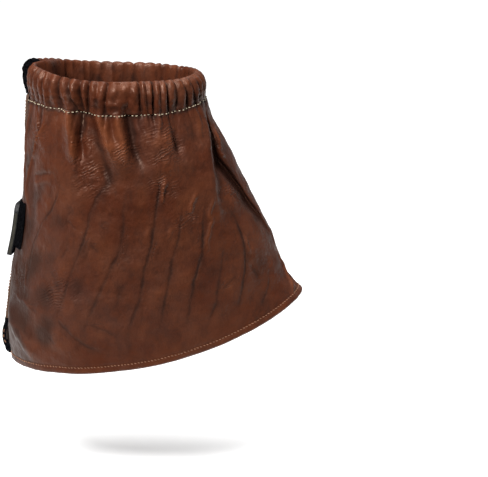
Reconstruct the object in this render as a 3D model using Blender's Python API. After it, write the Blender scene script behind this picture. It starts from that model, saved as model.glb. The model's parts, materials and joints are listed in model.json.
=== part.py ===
"""A brown leather ankle gaiter in its worn shape: a gathered elastic casing over a flared leg panel.

The panel wraps the leg once and laps at the back, where hook and loop patches and a tab close it.
The toe points along +X, the outer side of the leg faces -Y, and +Z is up. The origin is the middle
of the casing, where the elastic holds on to the leg.

A place on the gaiter is given by its turn and its drop. The turn is in degrees round the leg, 0 at the
toe, 90 on the outer side, 180 at the heel and -90 on the inner side. The drop is 0 at the casing seam
and 1 at the hem.
"""

import math

import bmesh
import bpy
import numpy as np

MM = 0.001

# Driving sizes.
HEM_BACK_Z = -177.0 * MM
HEM_RISE = 43.0 * MM
HEM_RISE_POWER = 2.6
LEATHER = 1.5 * MM
TURNED_HEM = 3.0 * MM
TURNED_HEM_DROP = 0.95
TAPE = 1.2 * MM
TAB_LEATHER = 2.0 * MM
CLEARANCE = 0.3 * MM

# The wrap runs from the end that lies underneath, past the heel on the inner side, round the outer
# side and the toe to the free edge of the lap, just short of the heel line.
UNDER_END_TURN = 214.0
LAP_EDGE_TURN = -177.0

# The mesh of the panel, and of the casing with its gathers.
PANEL_ROWS = 22
PANEL_TOP_DROP = 0.002
# Above this drop the folds lean less and less up or down, and at the seam they stand level.
LEVEL_DROP = 0.10
HEM_STEP_DROP = 0.012
# The panel's columns follow the long folds. These are the columns between the under end, the outer
# side, its crest, its valley, a line beside the toe, the toe, the same three lines of the inner side,
# the inner side and the free edge.
COLUMNS_BETWEEN = (30, 7, 11, 5, 4, 4, 5, 11, 7, 22)
PLAIN_SIDE_TURN = 75.0
BESIDE_TOE_SHARE = 0.55
GATHERS = 52
STEPS_PER_GATHER = 4

# In the tables below, the first row names the columns.

# Heights of the casing's seam and of its top, in millimetres. Both sides of the leg are alike.
CASING_HEIGHTS = (
    ("turn", "seam", "top"),
    (0.0, -6.2, 9.8),
    (20.0, -7.0, 9.4),
    (45.0, -9.2, 8.8),
    (70.0, -10.0, 9.1),
    (95.0, -9.6, 9.4),
    (120.0, -7.4, 11.0),
    (150.0, -5.9, 14.6),
    (180.0, -5.4, 16.2),
)

# Outlines of the panel. back and front are its reach along X, half_width along Y, widest is where along
# X it is widest, and nose and heel are the powers of the rounded outline before and behind that.
LEVELS = (
    ("drop", "back", "front", "half_width", "widest", "nose", "heel"),
    (0.00, -55.4, 56.2, 46.0, 0.0, 2.1, 2.1),
    (0.10, -59.0, 60.4, 48.0, 0.0, 2.2, 2.2),
    (0.20, -60.0, 67.4, 49.0, 2.0, 2.2, 2.3),
    (0.35, -62.0, 77.2, 50.0, 4.0, 2.1, 2.3),
    (0.50, -65.4, 86.4, 51.0, 6.0, 2.0, 2.3),
    (0.65, -71.0, 96.4, 52.0, 6.0, 2.0, 2.3),
    (0.80, -76.2, 103.6, 53.0, 6.0, 2.0, 2.3),
    (0.90, -76.0, 109.0, 53.0, 6.0, 2.0, 2.3),
    (1.00, -72.0, 119.5, 52.0, 6.0, 2.0, 2.3),
)

# The long folds beside the toe ridge. Heights are in millimetres, and the spreads towards the heel and
# the toe are in degrees. SIDE_CREST and SIDE_HOLLOW stand out of the panel and sink into it.
# FRONT_VALLEY sinks straight towards the middle of the leg.
SIDE_CREST = (
    ("drop", "turn", "height", "heel_spread", "toe_spread"),
    (0.00, 21.5, 0.4, 6.0, 3.5),
    (0.085, 21.8, 1.8, 6.5, 3.2),
    (0.14, 26.5, 2.4, 7.0, 3.2),
    (0.20, 32.5, 2.8, 7.5, 3.0),
    (0.25, 35.0, 3.0, 8.0, 3.0),
    (0.31, 37.5, 2.8, 8.5, 3.4),
    (0.41, 40.5, 2.0, 9.0, 4.0),
    (0.50, 42.5, 0.9, 9.0, 5.0),
    (0.60, 43.0, 0.0, 9.0, 6.0),
    (1.00, 43.0, 0.0, 9.0, 6.0),
)
SIDE_HOLLOW = (
    ("drop", "turn", "height", "heel_spread", "toe_spread"),
    (0.00, 15.0, 0.0, 3.0, 4.0),
    (0.20, 28.0, 0.0, 3.0, 4.0),
    (0.30, 32.5, -1.2, 3.0, 5.0),
    (0.41, 35.5, -1.5, 3.5, 5.5),
    (0.50, 37.0, -0.9, 4.0, 6.0),
    (0.60, 38.0, 0.0, 4.0, 6.0),
    (1.00, 38.0, 0.0, 4.0, 6.0),
)
FRONT_VALLEY = (
    ("drop", "turn", "height", "heel_spread", "toe_spread"),
    (0.00, 13.0, 0.0, 2.5, 3.0),
    (0.06, 15.0, -2.0, 2.5, 3.0),
    (0.105, 17.5, -4.5, 2.6, 3.5),
    (0.16, 23.0, -6.5, 2.8, 4.5),
    (0.22, 28.6, -8.5, 2.8, 5.5),
    (0.27, 29.6, -9.5, 3.0, 6.0),
    (0.31, 26.8, -9.5, 3.2, 5.0),
    (0.375, 23.2, -9.5, 3.2, 4.4),
    (0.46, 19.4, -9.0, 3.4, 4.2),
    (0.53, 16.4, -7.5, 3.6, 4.0),
    (0.61, 12.6, -5.0, 3.8, 3.8),
    (0.70, 7.6, -2.4, 3.8, 3.6),
    (0.78, 5.0, -1.0, 3.8, 3.4),
    (0.88, 5.0, -0.6, 3.8, 3.4),
    (1.00, 9.0, 0.0, 3.8, 3.4),
)
# Where the same three folds run on the inner side, which is a little calmer.
INNER_SIDE_SHIFT = 3.0
INNER_SIDE_DEPTH = 0.85

# Shorter folds, each from its head to its foot, with its spread in degrees and its height out of the
# panel in millimetres. A head above drop 0 starts full at the casing seam.
SHORT_FOLDS = (
    ("head_turn", "head_drop", "foot_turn", "foot_drop", "spread", "height"),
    (119.0, -0.10, 110.0, 0.24, 4.0, 2.6),
    (113.0, -0.10, 105.0, 0.22, 3.5, -2.6),
    (108.0, -0.06, 90.0, 0.32, 4.0, -2.2),
    (102.0, -0.08, 86.0, 0.26, 4.5, 2.6),
    (89.0, -0.08, 83.0, 0.26, 4.0, 2.0),
    (82.0, -0.08, 78.0, 0.24, 3.5, -2.2),
    (60.0, -0.06, 64.0, 0.26, 9.0, 1.8),
    (48.0, -0.06, 55.0, 0.24, 4.0, -1.8),
    (139.0, -0.10, 136.0, 0.22, 5.0, 1.2),
    (156.0, -0.10, 143.0, 0.62, 5.0, -1.4),
    (163.0, 0.74, 132.0, 0.97, 6.0, 1.8),
    (150.0, 0.72, 122.0, 0.94, 7.0, -1.2),
    (-44.0, -0.08, -58.0, 0.26, 5.0, -1.8),
    (-56.0, -0.08, -68.0, 0.30, 6.0, 2.2),
    (-72.0, -0.08, -80.0, 0.24, 4.0, -2.4),
    (-84.0, -0.10, -88.0, 0.28, 5.0, 2.6),
    (-97.0, -0.08, -96.0, 0.22, 4.0, -2.2),
    (-108.0, -0.08, -102.0, 0.30, 5.0, 2.2),
    (-122.0, -0.08, -114.0, 0.24, 5.0, -1.6),
    (-134.0, -0.08, -126.0, 0.24, 5.0, 1.4),
    (-138.0, 0.70, -116.0, 0.96, 7.0, 1.6),
    (-124.0, 0.68, -104.0, 0.92, 7.0, -1.2),
)
SHORT_FOLD_EASE = 0.30

# How far the under end steps in beneath the lap, and how far the lap's free edge lifts, in millimetres.
LAP = (
    ("drop", "step_in", "edge_lift"),
    (0.00, 9.6, 2.2),
    (0.10, 6.2, 0.8),
    (0.20, 5.6, 0.2),
    (0.70, 5.6, 0.2),
    (0.84, 5.6, 0.4),
    (0.88, 5.6, 1.2),
    (0.92, 5.6, 4.4),
    (0.96, 5.6, 5.0),
    (1.00, 5.6, 3.4),
)
STEP_FROM_TURN = 166.0
STEP_TO_TURN = 186.0
LIFT_FROM_TURN = -154.0

# The casing's section, as millimetres out of the panel's face and a share of the casing's height.
# gather is how much of the gathers' depth reaches that point.
CASING_SECTION = (
    ("out", "up", "gather"),
    (0.1, 0.00, 0.2),
    (0.2, 0.14, 0.8),
    (0.1, 0.50, 1.0),
    (-0.7, 0.86, 1.0),
    (-2.2, 1.00, 0.6),
    (-4.2, 0.97, 0.2),
    (-5.2, 0.70, 0.0),
    (-5.2, 0.25, 0.0),
    (-3.8, 0.00, 0.0),
)
CASING_LEAN = 1.6 * MM
GATHER_DEPTH = 1.2 * MM
# The gathers also lift the casing's top edge, above this share of its height.
GATHER_RIPPLE = 0.5 * MM
RIPPLE_FROM_UP = 0.9
# Slow waves round the leg that make the gathers uneven. The first two shift them by a share of a
# gather, and the last one changes their depth by a share of it.
GATHER_SHIFTS = (
    ("share", "waves", "starts"),
    (0.30, 5.0, 20.0),
    (0.22, 11.0, 75.0),
)
GATHER_CHANGE = (0.22, 7.0, 130.0)
# Round this turn the elastic is slack, and only a share of the gathers' depth is left.
SLACK_TURN = 83.0
SLACK_SPREAD = 13.0
SLACK_SHARE = 0.35
# The under end of the casing lies flat from this turn on.
FLAT_CASING_TURN = 173.0

# Hook and loop patches. Loop patches lie on the under end's face and hook patches behind the lap.
LOOP_PATCHES = (
    ("name", "head_drop", "foot_drop", "from_turn", "to_turn"),
    ("loop_patch_mid", 0.38, 0.555, 206.0, 155.0),
    ("loop_patch_heel", 0.74, 0.87, 208.0, 184.0),
)
HOOK_PATCHES = (
    ("name", "head_drop", "foot_drop", "from_turn", "to_turn"),
    ("hook_patch_heel", 0.74, 0.87, -154.0, -174.0),
)
# The two patches at the top lie on the casing.
LOOP_TOP_TURNS = (208.0, 177.0)
HOOK_TOP_TURNS = (-152.0, -174.5)
CASING_PATCH_HEIGHTS = (0.66, 0.10)
# A little more than the clearance, since the casing steps in under them.
CASING_PATCH_GAP = 0.55 * MM
CASING_PATCH_POINTS = (17, 3)

# The tab is sewn to the lap on the inner side and its free end stands off the panel, most at its foot.
TAB_HEAD_DROP = 0.415
TAB_FOOT_DROP = 0.645
TAB_SEWN_TURN = -134.0
TAB_FREE_TURN = -183.0
TAB_LIFT_FROM_TURN = -166.0
TAB_HEAD_LIFT = 1.4 * MM
TAB_FOOT_LIFT = 2.6 * MM
TAB_FREE_COLUMNS = 4

MATERIALS = {
    "leather": ((0.112, 0.034, 0.016), 0.45),
    "tab_leather": ((0.050, 0.046, 0.036), 0.60),
    "tape": ((0.010, 0.010, 0.012), 0.90),
}


def clear_scene():
    for item in list(bpy.data.objects):
        bpy.data.objects.remove(item)


def finish(name):
    """The Principled material of that name, made once."""
    material = bpy.data.materials.get(name)
    if material is None:
        colour, roughness = MATERIALS[name]
        material = bpy.data.materials.new(name)
        material.use_nodes = True
        shader = material.node_tree.nodes["Principled BSDF"]
        shader.inputs["Base Color"].default_value = (*colour, 1.0)
        shader.inputs["Roughness"].default_value = roughness
        shader.inputs["Metallic"].default_value = 0.0
    return material


def column_values(table, column):
    return np.array([row[table[0].index(column)] for row in table[1:]])


def read(table, column, key):
    """A column of a table, as a smooth curve through its rows. Their first column rises."""
    keys = column_values(table, table[0][0])
    values = column_values(table, column)
    slopes = np.gradient(values, keys)
    row = np.clip(np.searchsorted(keys, key) - 1, 0, len(keys) - 2)
    span = keys[row + 1] - keys[row]
    t = np.clip((key - keys[row]) / span, 0.0, 1.0)
    start = (1 + 2 * t) * (1 - t) ** 2 * values[row] + t * (1 - t) ** 2 * span * slopes[row]
    end = t**2 * (3 - 2 * t) * values[row + 1] + t**2 * (t - 1) * span * slopes[row + 1]
    return start + end


def eased(share):
    """0 to 1 with soft ends."""
    share = np.clip(share, 0.0, 1.0)
    return share * share * (3 - 2 * share)


def between(turn, other):
    """Degrees from one turn to another, the short way round."""
    return (turn - other + 180.0) % 360.0 - 180.0


def outline(turn, drop):
    """X and Y of the smooth panel, before any fold."""
    sizes = ("back", "front", "half_width", "widest")
    back, front, half_width, widest = (read(LEVELS, size, drop) * MM for size in sizes)
    along = np.cos(np.radians(turn))
    across = np.sin(np.radians(turn))
    power = 2.0 / np.where(along > 0, read(LEVELS, "nose", drop), read(LEVELS, "heel", drop))
    reach = np.where(along > 0, front - widest, widest - back)
    x = widest + reach * np.sign(along) * np.abs(along) ** power
    y = -half_width * np.sign(across) * np.abs(across) ** power
    return x, y


def casing_height(turn, column):
    return read(CASING_HEIGHTS, column, np.abs(between(turn, 0.0))) * MM


def hem_z(turn):
    """The hem's height: level behind the ankle, rising over the instep."""
    x, _ = outline(turn, np.ones_like(turn))
    back, front = (column_values(LEVELS, end)[-1] * MM for end in ("back", "front"))
    share = np.clip((x - back) / (front - back), 0.0, 1.0)
    return HEM_BACK_Z + HEM_RISE * share**HEM_RISE_POWER


def long_fold(table, turn, drop, side):
    """A fold that follows a table of rows. side is 1 on the outer side and -1 on the inner side."""
    shift = INNER_SIDE_SHIFT if side < 0 else 0.0
    depth = INNER_SIDE_DEPTH if side < 0 else 1.0
    away = side * between(turn, side * (read(table, "turn", drop) + shift))
    spread = np.where(away > 0, read(table, "heel_spread", drop), read(table, "toe_spread", drop))
    return depth * read(table, "height", drop) * np.exp(-((away / spread) ** 2))


def short_fold(fold, turn, drop):
    """A fold that runs straight from its head to its foot and fades at both."""
    head_turn, head_drop, foot_turn, foot_drop, spread, height = fold
    along = (drop - head_drop) / (foot_drop - head_drop)
    away = between(turn, head_turn + along * (foot_turn - head_turn))
    fade = eased(along / SHORT_FOLD_EASE) * eased((1 - along) / SHORT_FOLD_EASE)
    return height * fade * np.exp(-((away / spread) ** 2))


def folds(turn, drop):
    """How far the folds stand out of the smooth panel, in millimetres."""
    total = sum(long_fold(table, turn, drop, side) for table in (SIDE_CREST, SIDE_HOLLOW) for side in (1, -1))
    return total + sum(short_fold(fold, turn, drop) for fold in SHORT_FOLDS[1:])


def sideways(turn, drop):
    """How far the front valleys move the panel along Y, in millimetres. The outer side faces -Y."""
    return long_fold(FRONT_VALLEY, turn, drop, -1) - long_fold(FRONT_VALLEY, turn, drop, 1)


def lap_step(turn, drop):
    """How far the lap stands out of the smooth panel. It is less than nothing on the under end."""
    inward = eased((turn - STEP_FROM_TURN) / (STEP_TO_TURN - STEP_FROM_TURN))
    lifted = eased((LIFT_FROM_TURN - turn) / (LIFT_FROM_TURN - LAP_EDGE_TURN))
    return read(LAP, "edge_lift", drop) * lifted - read(LAP, "step_in", drop) * inward


def smooth_point(turn, drop):
    x, y = outline(turn, drop)
    seam_z = casing_height(turn, "seam")
    return np.stack([x, y, seam_z + drop * (hem_z(turn) - seam_z)], axis=-1)


def outward(surface, turn, drop):
    """The outward normal of a surface given as a function of turn and drop."""
    step_turn, step_drop = 0.4, 0.004
    round_leg = surface(turn + step_turn, drop) - surface(turn - step_turn, drop)
    down = surface(turn, drop + step_drop) - surface(turn, drop - step_drop)
    normal = np.cross(round_leg, down)
    return normal / np.linalg.norm(normal, axis=-1, keepdims=True)


def panel_point(turn, drop):
    """A point of the panel's outer face."""
    out = (folds(turn, drop) + lap_step(turn, drop)) * MM
    direction = outward(smooth_point, turn, drop)
    direction[..., 2] *= eased(drop / LEVEL_DROP)
    point = smooth_point(turn, drop) + out[..., None] * direction
    point[..., 1] += sideways(turn, drop) * MM
    return point


def above_panel(turn, drop, out):
    """A point moved out from the panel's outer face."""
    return panel_point(turn, drop) + outward(panel_point, turn, drop) * np.asarray(out)[..., None]


def new_object(name, shape, material):
    mesh = bpy.data.meshes.new(name)
    bmesh.ops.recalc_face_normals(shape, faces=shape.faces)
    shape.to_mesh(mesh)
    shape.free()
    mesh.shade_smooth()
    mesh.materials.append(finish(material))
    thing = bpy.data.objects.new(name, mesh)
    bpy.context.scene.collection.objects.link(thing)
    return thing


def add_sheet(name, points, material, thickness, weights=None):
    """An open sheet through a grid of points, thickened inward by a Solidify modifier."""
    mesh = bpy.data.meshes.new(name)
    rows, columns = points.shape[:2]
    corners = [
        (r * columns + c, (r + 1) * columns + c, (r + 1) * columns + c + 1, r * columns + c + 1)
        for r in range(rows - 1)
        for c in range(columns - 1)
    ]
    mesh.from_pydata(points.reshape(-1, 3).tolist(), [], corners)
    mesh.shade_smooth()
    mesh.materials.append(finish(material))
    sheet = bpy.data.objects.new(name, mesh)
    bpy.context.scene.collection.objects.link(sheet)
    solidify = sheet.modifiers.new("leather", "SOLIDIFY")
    solidify.thickness = thickness
    solidify.offset = -1.0
    if weights is not None:
        group = sheet.vertex_groups.new(name="thickness")
        for index, weight in enumerate(weights.reshape(-1).tolist()):
            group.add([index], weight, "REPLACE")
        solidify.vertex_group = group.name
    return sheet


def column_lines(drop):
    """The turns that the panel's columns spread between, from the under end to the free edge."""
    crest, valley = (read(table, "turn", drop) for table in (SIDE_CREST, FRONT_VALLEY))
    outer = [crest, valley, BESIDE_TOE_SHARE * valley]
    inner = [-(turn + INNER_SIDE_SHIFT) for turn in reversed(outer)]
    return (UNDER_END_TURN, PLAIN_SIDE_TURN, *outer, 0.0, *inner, -PLAIN_SIDE_TURN, LAP_EDGE_TURN)


def panel_grid(first=UNDER_END_TURN, last=LAP_EDGE_TURN, head=PANEL_TOP_DROP, foot=1.0):
    """Turns and drops of the panel's points, from the first turn down to the last and head to foot."""
    plain = np.linspace(PANEL_TOP_DROP, TURNED_HEM_DROP - HEM_STEP_DROP, PANEL_ROWS - 3)
    drops = np.concatenate([plain, np.linspace(TURNED_HEM_DROP, 1.0, 3)])
    drops = np.concatenate([[head], drops[(drops > head) & (drops < foot)], [foot]])
    lines = np.concatenate([[0], np.cumsum(COLUMNS_BETWEEN)])
    columns = np.arange(lines[-1] + 1)
    turn = np.stack([np.interp(columns, lines, column_lines(drop)) for drop in drops])
    inside = (turn[0] < first) & (turn[0] > last)
    ends = np.ones((len(drops), 1))
    turn = np.concatenate([first * ends, turn[:, inside], last * ends], axis=1)
    return turn, np.repeat(drops[:, None], turn.shape[1], axis=1)


def add_leg_panel():
    """The wrapped leather with its turned hem. Its top edge stops just under the casing."""
    turn, drop = panel_grid()
    weights = np.where(drop >= TURNED_HEM_DROP, 1.0, LEATHER / TURNED_HEM)
    add_sheet("leg_panel", panel_point(turn, drop), "leather", TURNED_HEM, weights)


def slow_wave(turn, share, waves, starts):
    return share * np.sin(np.radians(turn * waves + starts))


def gather_wave(turn):
    """The casing's gathers, from -1 in a valley to 1 on a ridge, uneven in width and depth."""
    shift = sum(slow_wave(turn, *row) for row in GATHER_SHIFTS[1:])
    gather = GATHERS * turn / (UNDER_END_TURN - LAP_EDGE_TURN) + shift
    depth = 1.0 - GATHER_CHANGE[0] + slow_wave(turn, *GATHER_CHANGE)
    slack = 1.0 - (1.0 - SLACK_SHARE) * np.exp(-(((turn - SLACK_TURN) / SLACK_SPREAD) ** 2))
    flat_end = eased((FLAT_CASING_TURN - turn) / (FLAT_CASING_TURN - STEP_FROM_TURN))
    return depth * slack * flat_end * np.cos(2 * math.pi * gather)


def casing_point(turn, out, up):
    """A point of the casing: out from the smooth panel's top edge, and up as a share of its height."""
    seam = np.zeros_like(turn)
    normal = outward(smooth_point, turn, seam)
    normal[..., 2] = 0.0
    normal = normal / np.linalg.norm(normal, axis=-1, keepdims=True)
    leaning = CASING_LEAN * up * (1.0 + np.cos(np.radians(turn)))
    out = out + (lap_step(turn, seam) + folds(turn, seam) * (1.0 - up)) * MM - leaning
    point = smooth_point(turn, seam) + normal * out[..., None]
    seam_z, top = casing_height(turn, "seam"), casing_height(turn, "top")
    point[..., 2] = seam_z + up * (top - seam_z)
    return point


def add_casing():
    """The turned-down top of the leather round its elastic: gathered outside, plain inside."""
    steps = GATHERS * STEPS_PER_GATHER
    turns = np.linspace(UNDER_END_TURN, LAP_EDGE_TURN, steps + 1)
    wave = gather_wave(turns)
    shape = bmesh.new()
    lines = []
    for out, up, gather in CASING_SECTION[1:]:
        points = casing_point(turns, out * MM + GATHER_DEPTH * gather * wave, np.full_like(turns, up))
        points[:, 2] += GATHER_RIPPLE * wave * (up > RIPPLE_FROM_UP)
        lines.append([shape.verts.new(point) for point in points.tolist()])
    for line, following in zip(lines, lines[1:] + lines[:1]):
        for step in range(steps):
            shape.faces.new((line[step], line[step + 1], following[step + 1], following[step]))
    for end in (0, steps):
        shape.faces.new([line[end] for line in lines])
    new_object("elastic_casing", shape, "leather")


def add_panel_patch(name, head_drop, foot_drop, from_turn, to_turn, face):
    """A tape patch on the panel's outer face (face 1), or behind its inner face (face -1)."""
    turn, drop = panel_grid(from_turn, to_turn, head_drop, foot_drop)
    out = CLEARANCE + TAPE if face > 0 else -LEATHER - CLEARANCE
    add_sheet(name, above_panel(turn, drop, np.full_like(turn, out)), "tape", TAPE)


def add_casing_patch(name, base_out, turns):
    """A tape patch on a face of the casing, base_out from the panel's face."""
    across, high = CASING_PATCH_POINTS
    turn, up = np.meshgrid(np.linspace(*turns, across), np.linspace(*CASING_PATCH_HEIGHTS, high))
    add_sheet(name, casing_point(turn, np.full_like(turn, base_out), up), "tape", TAPE)


def tab_lift(turn, drop):
    """How far the tab's inner side stands off the lap's face."""
    down = eased((drop - TAB_HEAD_DROP) / (TAB_FOOT_DROP - TAB_HEAD_DROP))
    reach = eased((TAB_LIFT_FROM_TURN - turn) / (TAB_LIFT_FROM_TURN - TAB_FREE_TURN))
    return CLEARANCE + reach * (TAB_HEAD_LIFT + down * (TAB_FOOT_LIFT - TAB_HEAD_LIFT))


def add_tab():
    """The closing tab, sewn to the lap, with hook tape behind its free end."""
    on_lap, drop = panel_grid(TAB_SEWN_TURN, LAP_EDGE_TURN, TAB_HEAD_DROP, TAB_FOOT_DROP)
    past_lap = np.linspace(LAP_EDGE_TURN, TAB_FREE_TURN, TAB_FREE_COLUMNS + 1)[1:]
    turn, drop = np.meshgrid(np.concatenate([on_lap[0], past_lap]), drop[:, 0])
    out = tab_lift(turn, drop) + TAB_LEATHER
    add_sheet("closure_tab", above_panel(turn, drop, out), "tab_leather", TAB_LEATHER)
    turn, drop = np.meshgrid(past_lap, drop[:, 0])
    out = tab_lift(turn, drop) - CLEARANCE
    add_sheet("hook_patch_tab", above_panel(turn, drop, out), "tape", TAPE)


def build():
    clear_scene()
    add_leg_panel()
    add_casing()
    for patch in LOOP_PATCHES[1:]:
        add_panel_patch(*patch, face=1)
    for patch in HOOK_PATCHES[1:]:
        add_panel_patch(*patch, face=-1)
    outs = column_values(CASING_SECTION, "out") * MM
    add_casing_patch("loop_patch_top", outs.max() + CASING_PATCH_GAP + TAPE, LOOP_TOP_TURNS)
    add_casing_patch("hook_patch_top", outs.min() - CASING_PATCH_GAP, HOOK_TOP_TURNS)
    add_tab()


build()
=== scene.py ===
"""A brown leather ankle gaiter as it is worn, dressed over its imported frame.

The leather wraps the leg once, flares to the hem and laps at the back, where hook and loop tapes and a
stiff tab close it. Its top is turned down over an elastic and gathered. Its front points along +X, the
outer side of the leg faces -Y, and +Z is up.

A place on the gaiter is given by its turn and its drop. The turn is in degrees round the leg, 0 at the
front, 90 on the outer side, 180 at the heel and -90 on the inner side. The drop is 0 at the casing seam
and 1 at the hem. On the casing, up is 0 at the seam and 1 at the top, and the way runs up its outer face,
over the top and down behind, from 0 to 1.
"""

import json
import math

import bpy
import numpy as np
from bpy.props import FloatProperty, FloatVectorProperty, PointerProperty
from bpy.types import Operator, Panel, PropertyGroup
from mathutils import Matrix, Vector


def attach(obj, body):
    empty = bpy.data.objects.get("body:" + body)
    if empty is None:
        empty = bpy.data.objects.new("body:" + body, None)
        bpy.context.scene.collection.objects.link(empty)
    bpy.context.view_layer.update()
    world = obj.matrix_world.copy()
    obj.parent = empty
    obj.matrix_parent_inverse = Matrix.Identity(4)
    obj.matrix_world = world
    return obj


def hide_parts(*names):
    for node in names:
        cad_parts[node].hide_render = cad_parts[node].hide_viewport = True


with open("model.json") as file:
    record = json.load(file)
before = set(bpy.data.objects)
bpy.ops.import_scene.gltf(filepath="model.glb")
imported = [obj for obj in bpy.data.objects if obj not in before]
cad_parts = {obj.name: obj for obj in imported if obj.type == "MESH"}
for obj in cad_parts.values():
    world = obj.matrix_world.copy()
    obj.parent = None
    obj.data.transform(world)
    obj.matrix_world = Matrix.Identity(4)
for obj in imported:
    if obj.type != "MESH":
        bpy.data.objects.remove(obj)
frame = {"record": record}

bl_info = {
    "name": "Leather Gaiter",
    "version": (1, 0, 0),
    "blender": (4, 5, 0),
    "location": "View3D > Sidebar > Gaiter",
    "description": "Dresses the frame of a worn leather ankle gaiter",
    "category": "Add Mesh",
}

MM = 0.001
BODY = "root"
RECORD_COLOURS = {row["slot"]: row["base_color"][:3] for row in frame["record"]["materials"]}

# The worn form, as it is cut and folded. In the tables below, the first row names the columns, and lengths
# are in millimetres.
HEM_BACK_Z = -177.0 * MM
HEM_RISE = 43.0 * MM
HEM_RISE_POWER = 2.6
UNDER_END_TURN = 214.0
LAP_EDGE_TURN = -177.0
LEVEL_DROP = 0.10

# Where the casing's seam and top are at each turn. Both sides of the leg are alike.
CASING_HEIGHTS = (
    ("turn", "seam", "top"),
    (0.0, -6.2, 9.8),
    (20.0, -7.0, 9.4),
    (45.0, -9.2, 8.8),
    (70.0, -10.0, 9.1),
    (95.0, -9.6, 9.4),
    (120.0, -7.4, 11.0),
    (150.0, -5.9, 14.6),
    (180.0, -5.4, 16.2),
)

# The panel's outline: how far it reaches back and forward, half its width, how far forward it is widest,
# and how square it is at the nose and at the heel. 2 is round.
LEVELS = (
    ("drop", "back", "front", "half_width", "widest", "nose", "heel"),
    (0.00, -55.4, 56.2, 46.0, 0.0, 2.1, 2.1),
    (0.10, -59.0, 60.4, 48.0, 0.0, 2.2, 2.2),
    (0.20, -60.0, 67.4, 49.0, 2.0, 2.2, 2.3),
    (0.35, -62.0, 77.2, 50.0, 4.0, 2.1, 2.3),
    (0.50, -65.4, 86.4, 51.0, 6.0, 2.0, 2.3),
    (0.65, -71.0, 96.4, 52.0, 6.0, 2.0, 2.3),
    (0.80, -76.2, 103.6, 53.0, 6.0, 2.0, 2.3),
    (0.90, -76.0, 109.0, 53.0, 6.0, 2.0, 2.3),
    (1.00, -72.0, 119.5, 52.0, 6.0, 2.0, 2.3),
)

# Long folds, on both sides. SIDE_CREST stands out of the leather and SIDE_HOLLOW sinks into it. FRONT_VALLEY
# sinks towards the middle of the leg, so it stays in place as seen from the side. Spreads are in degrees.
SIDE_CREST = (
    ("drop", "turn", "height", "heel_spread", "toe_spread"),
    (0.00, 21.5, 0.4, 6.0, 3.5),
    (0.085, 21.8, 1.8, 6.5, 3.2),
    (0.14, 26.5, 2.4, 7.0, 3.2),
    (0.20, 32.5, 2.8, 7.5, 3.0),
    (0.25, 35.0, 3.0, 8.0, 3.0),
    (0.31, 37.5, 2.8, 8.5, 3.4),
    (0.41, 40.5, 2.0, 9.0, 4.0),
    (0.50, 42.5, 0.9, 9.0, 5.0),
    (0.60, 43.0, 0.0, 9.0, 6.0),
    (1.00, 43.0, 0.0, 9.0, 6.0),
)
SIDE_HOLLOW = (
    ("drop", "turn", "height", "heel_spread", "toe_spread"),
    (0.00, 15.0, 0.0, 3.0, 4.0),
    (0.20, 28.0, 0.0, 3.0, 4.0),
    (0.30, 32.5, -1.2, 3.0, 5.0),
    (0.41, 35.5, -1.5, 3.5, 5.5),
    (0.50, 37.0, -0.9, 4.0, 6.0),
    (0.60, 38.0, 0.0, 4.0, 6.0),
    (1.00, 38.0, 0.0, 4.0, 6.0),
)
FRONT_VALLEY = (
    ("drop", "turn", "height", "heel_spread", "toe_spread"),
    (0.00, 13.0, 0.0, 2.5, 3.0),
    (0.06, 15.0, -2.0, 2.5, 3.0),
    (0.105, 17.5, -4.5, 2.6, 3.5),
    (0.16, 23.0, -6.5, 2.8, 4.5),
    (0.22, 28.6, -8.5, 2.8, 5.5),
    (0.27, 29.6, -9.5, 3.0, 6.0),
    (0.31, 26.8, -9.5, 3.2, 5.0),
    (0.375, 23.2, -9.5, 3.2, 4.4),
    (0.46, 19.4, -9.0, 3.4, 4.2),
    (0.53, 16.4, -7.5, 3.6, 4.0),
    (0.61, 12.6, -5.0, 3.8, 3.8),
    (0.70, 7.6, -2.4, 3.8, 3.6),
    (0.78, 5.0, -1.0, 3.8, 3.4),
    (0.88, 5.0, -0.6, 3.8, 3.4),
    (1.00, 9.0, 0.0, 3.8, 3.4),
)
INNER_SIDE_SHIFT = 3.0
INNER_SIDE_DEPTH = 0.85

# Folds that run straight from a head to a foot. The spread is in degrees.
SHORT_FOLDS = (
    ("head_turn", "head_drop", "foot_turn", "foot_drop", "spread", "height"),
    (119.0, -0.10, 110.0, 0.24, 4.0, 2.6),
    (113.0, -0.10, 105.0, 0.22, 3.5, -2.6),
    (108.0, -0.06, 90.0, 0.32, 4.0, -2.2),
    (102.0, -0.08, 86.0, 0.26, 4.5, 2.6),
    (89.0, -0.08, 83.0, 0.26, 4.0, 2.0),
    (82.0, -0.08, 78.0, 0.24, 3.5, -2.2),
    (60.0, -0.06, 64.0, 0.26, 9.0, 1.8),
    (48.0, -0.06, 55.0, 0.24, 4.0, -1.8),
    (139.0, -0.10, 136.0, 0.22, 5.0, 1.2),
    (156.0, -0.10, 143.0, 0.62, 5.0, -1.4),
    (163.0, 0.74, 132.0, 0.97, 6.0, 1.8),
    (150.0, 0.72, 122.0, 0.94, 7.0, -1.2),
    (-44.0, -0.08, -58.0, 0.26, 5.0, -1.8),
    (-56.0, -0.08, -68.0, 0.30, 6.0, 2.2),
    (-72.0, -0.08, -80.0, 0.24, 4.0, -2.4),
    (-84.0, -0.10, -88.0, 0.28, 5.0, 2.6),
    (-97.0, -0.08, -96.0, 0.22, 4.0, -2.2),
    (-108.0, -0.08, -102.0, 0.30, 5.0, 2.2),
    (-122.0, -0.08, -114.0, 0.24, 5.0, -1.6),
    (-134.0, -0.08, -126.0, 0.24, 5.0, 1.4),
    (-138.0, 0.70, -116.0, 0.96, 7.0, 1.6),
    (-124.0, 0.68, -104.0, 0.92, 7.0, -1.2),
    (170.0, 0.62, 172.0, 1.03, 15.0, -2.6),
)
SHORT_FOLD_EASE = 0.30

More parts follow.
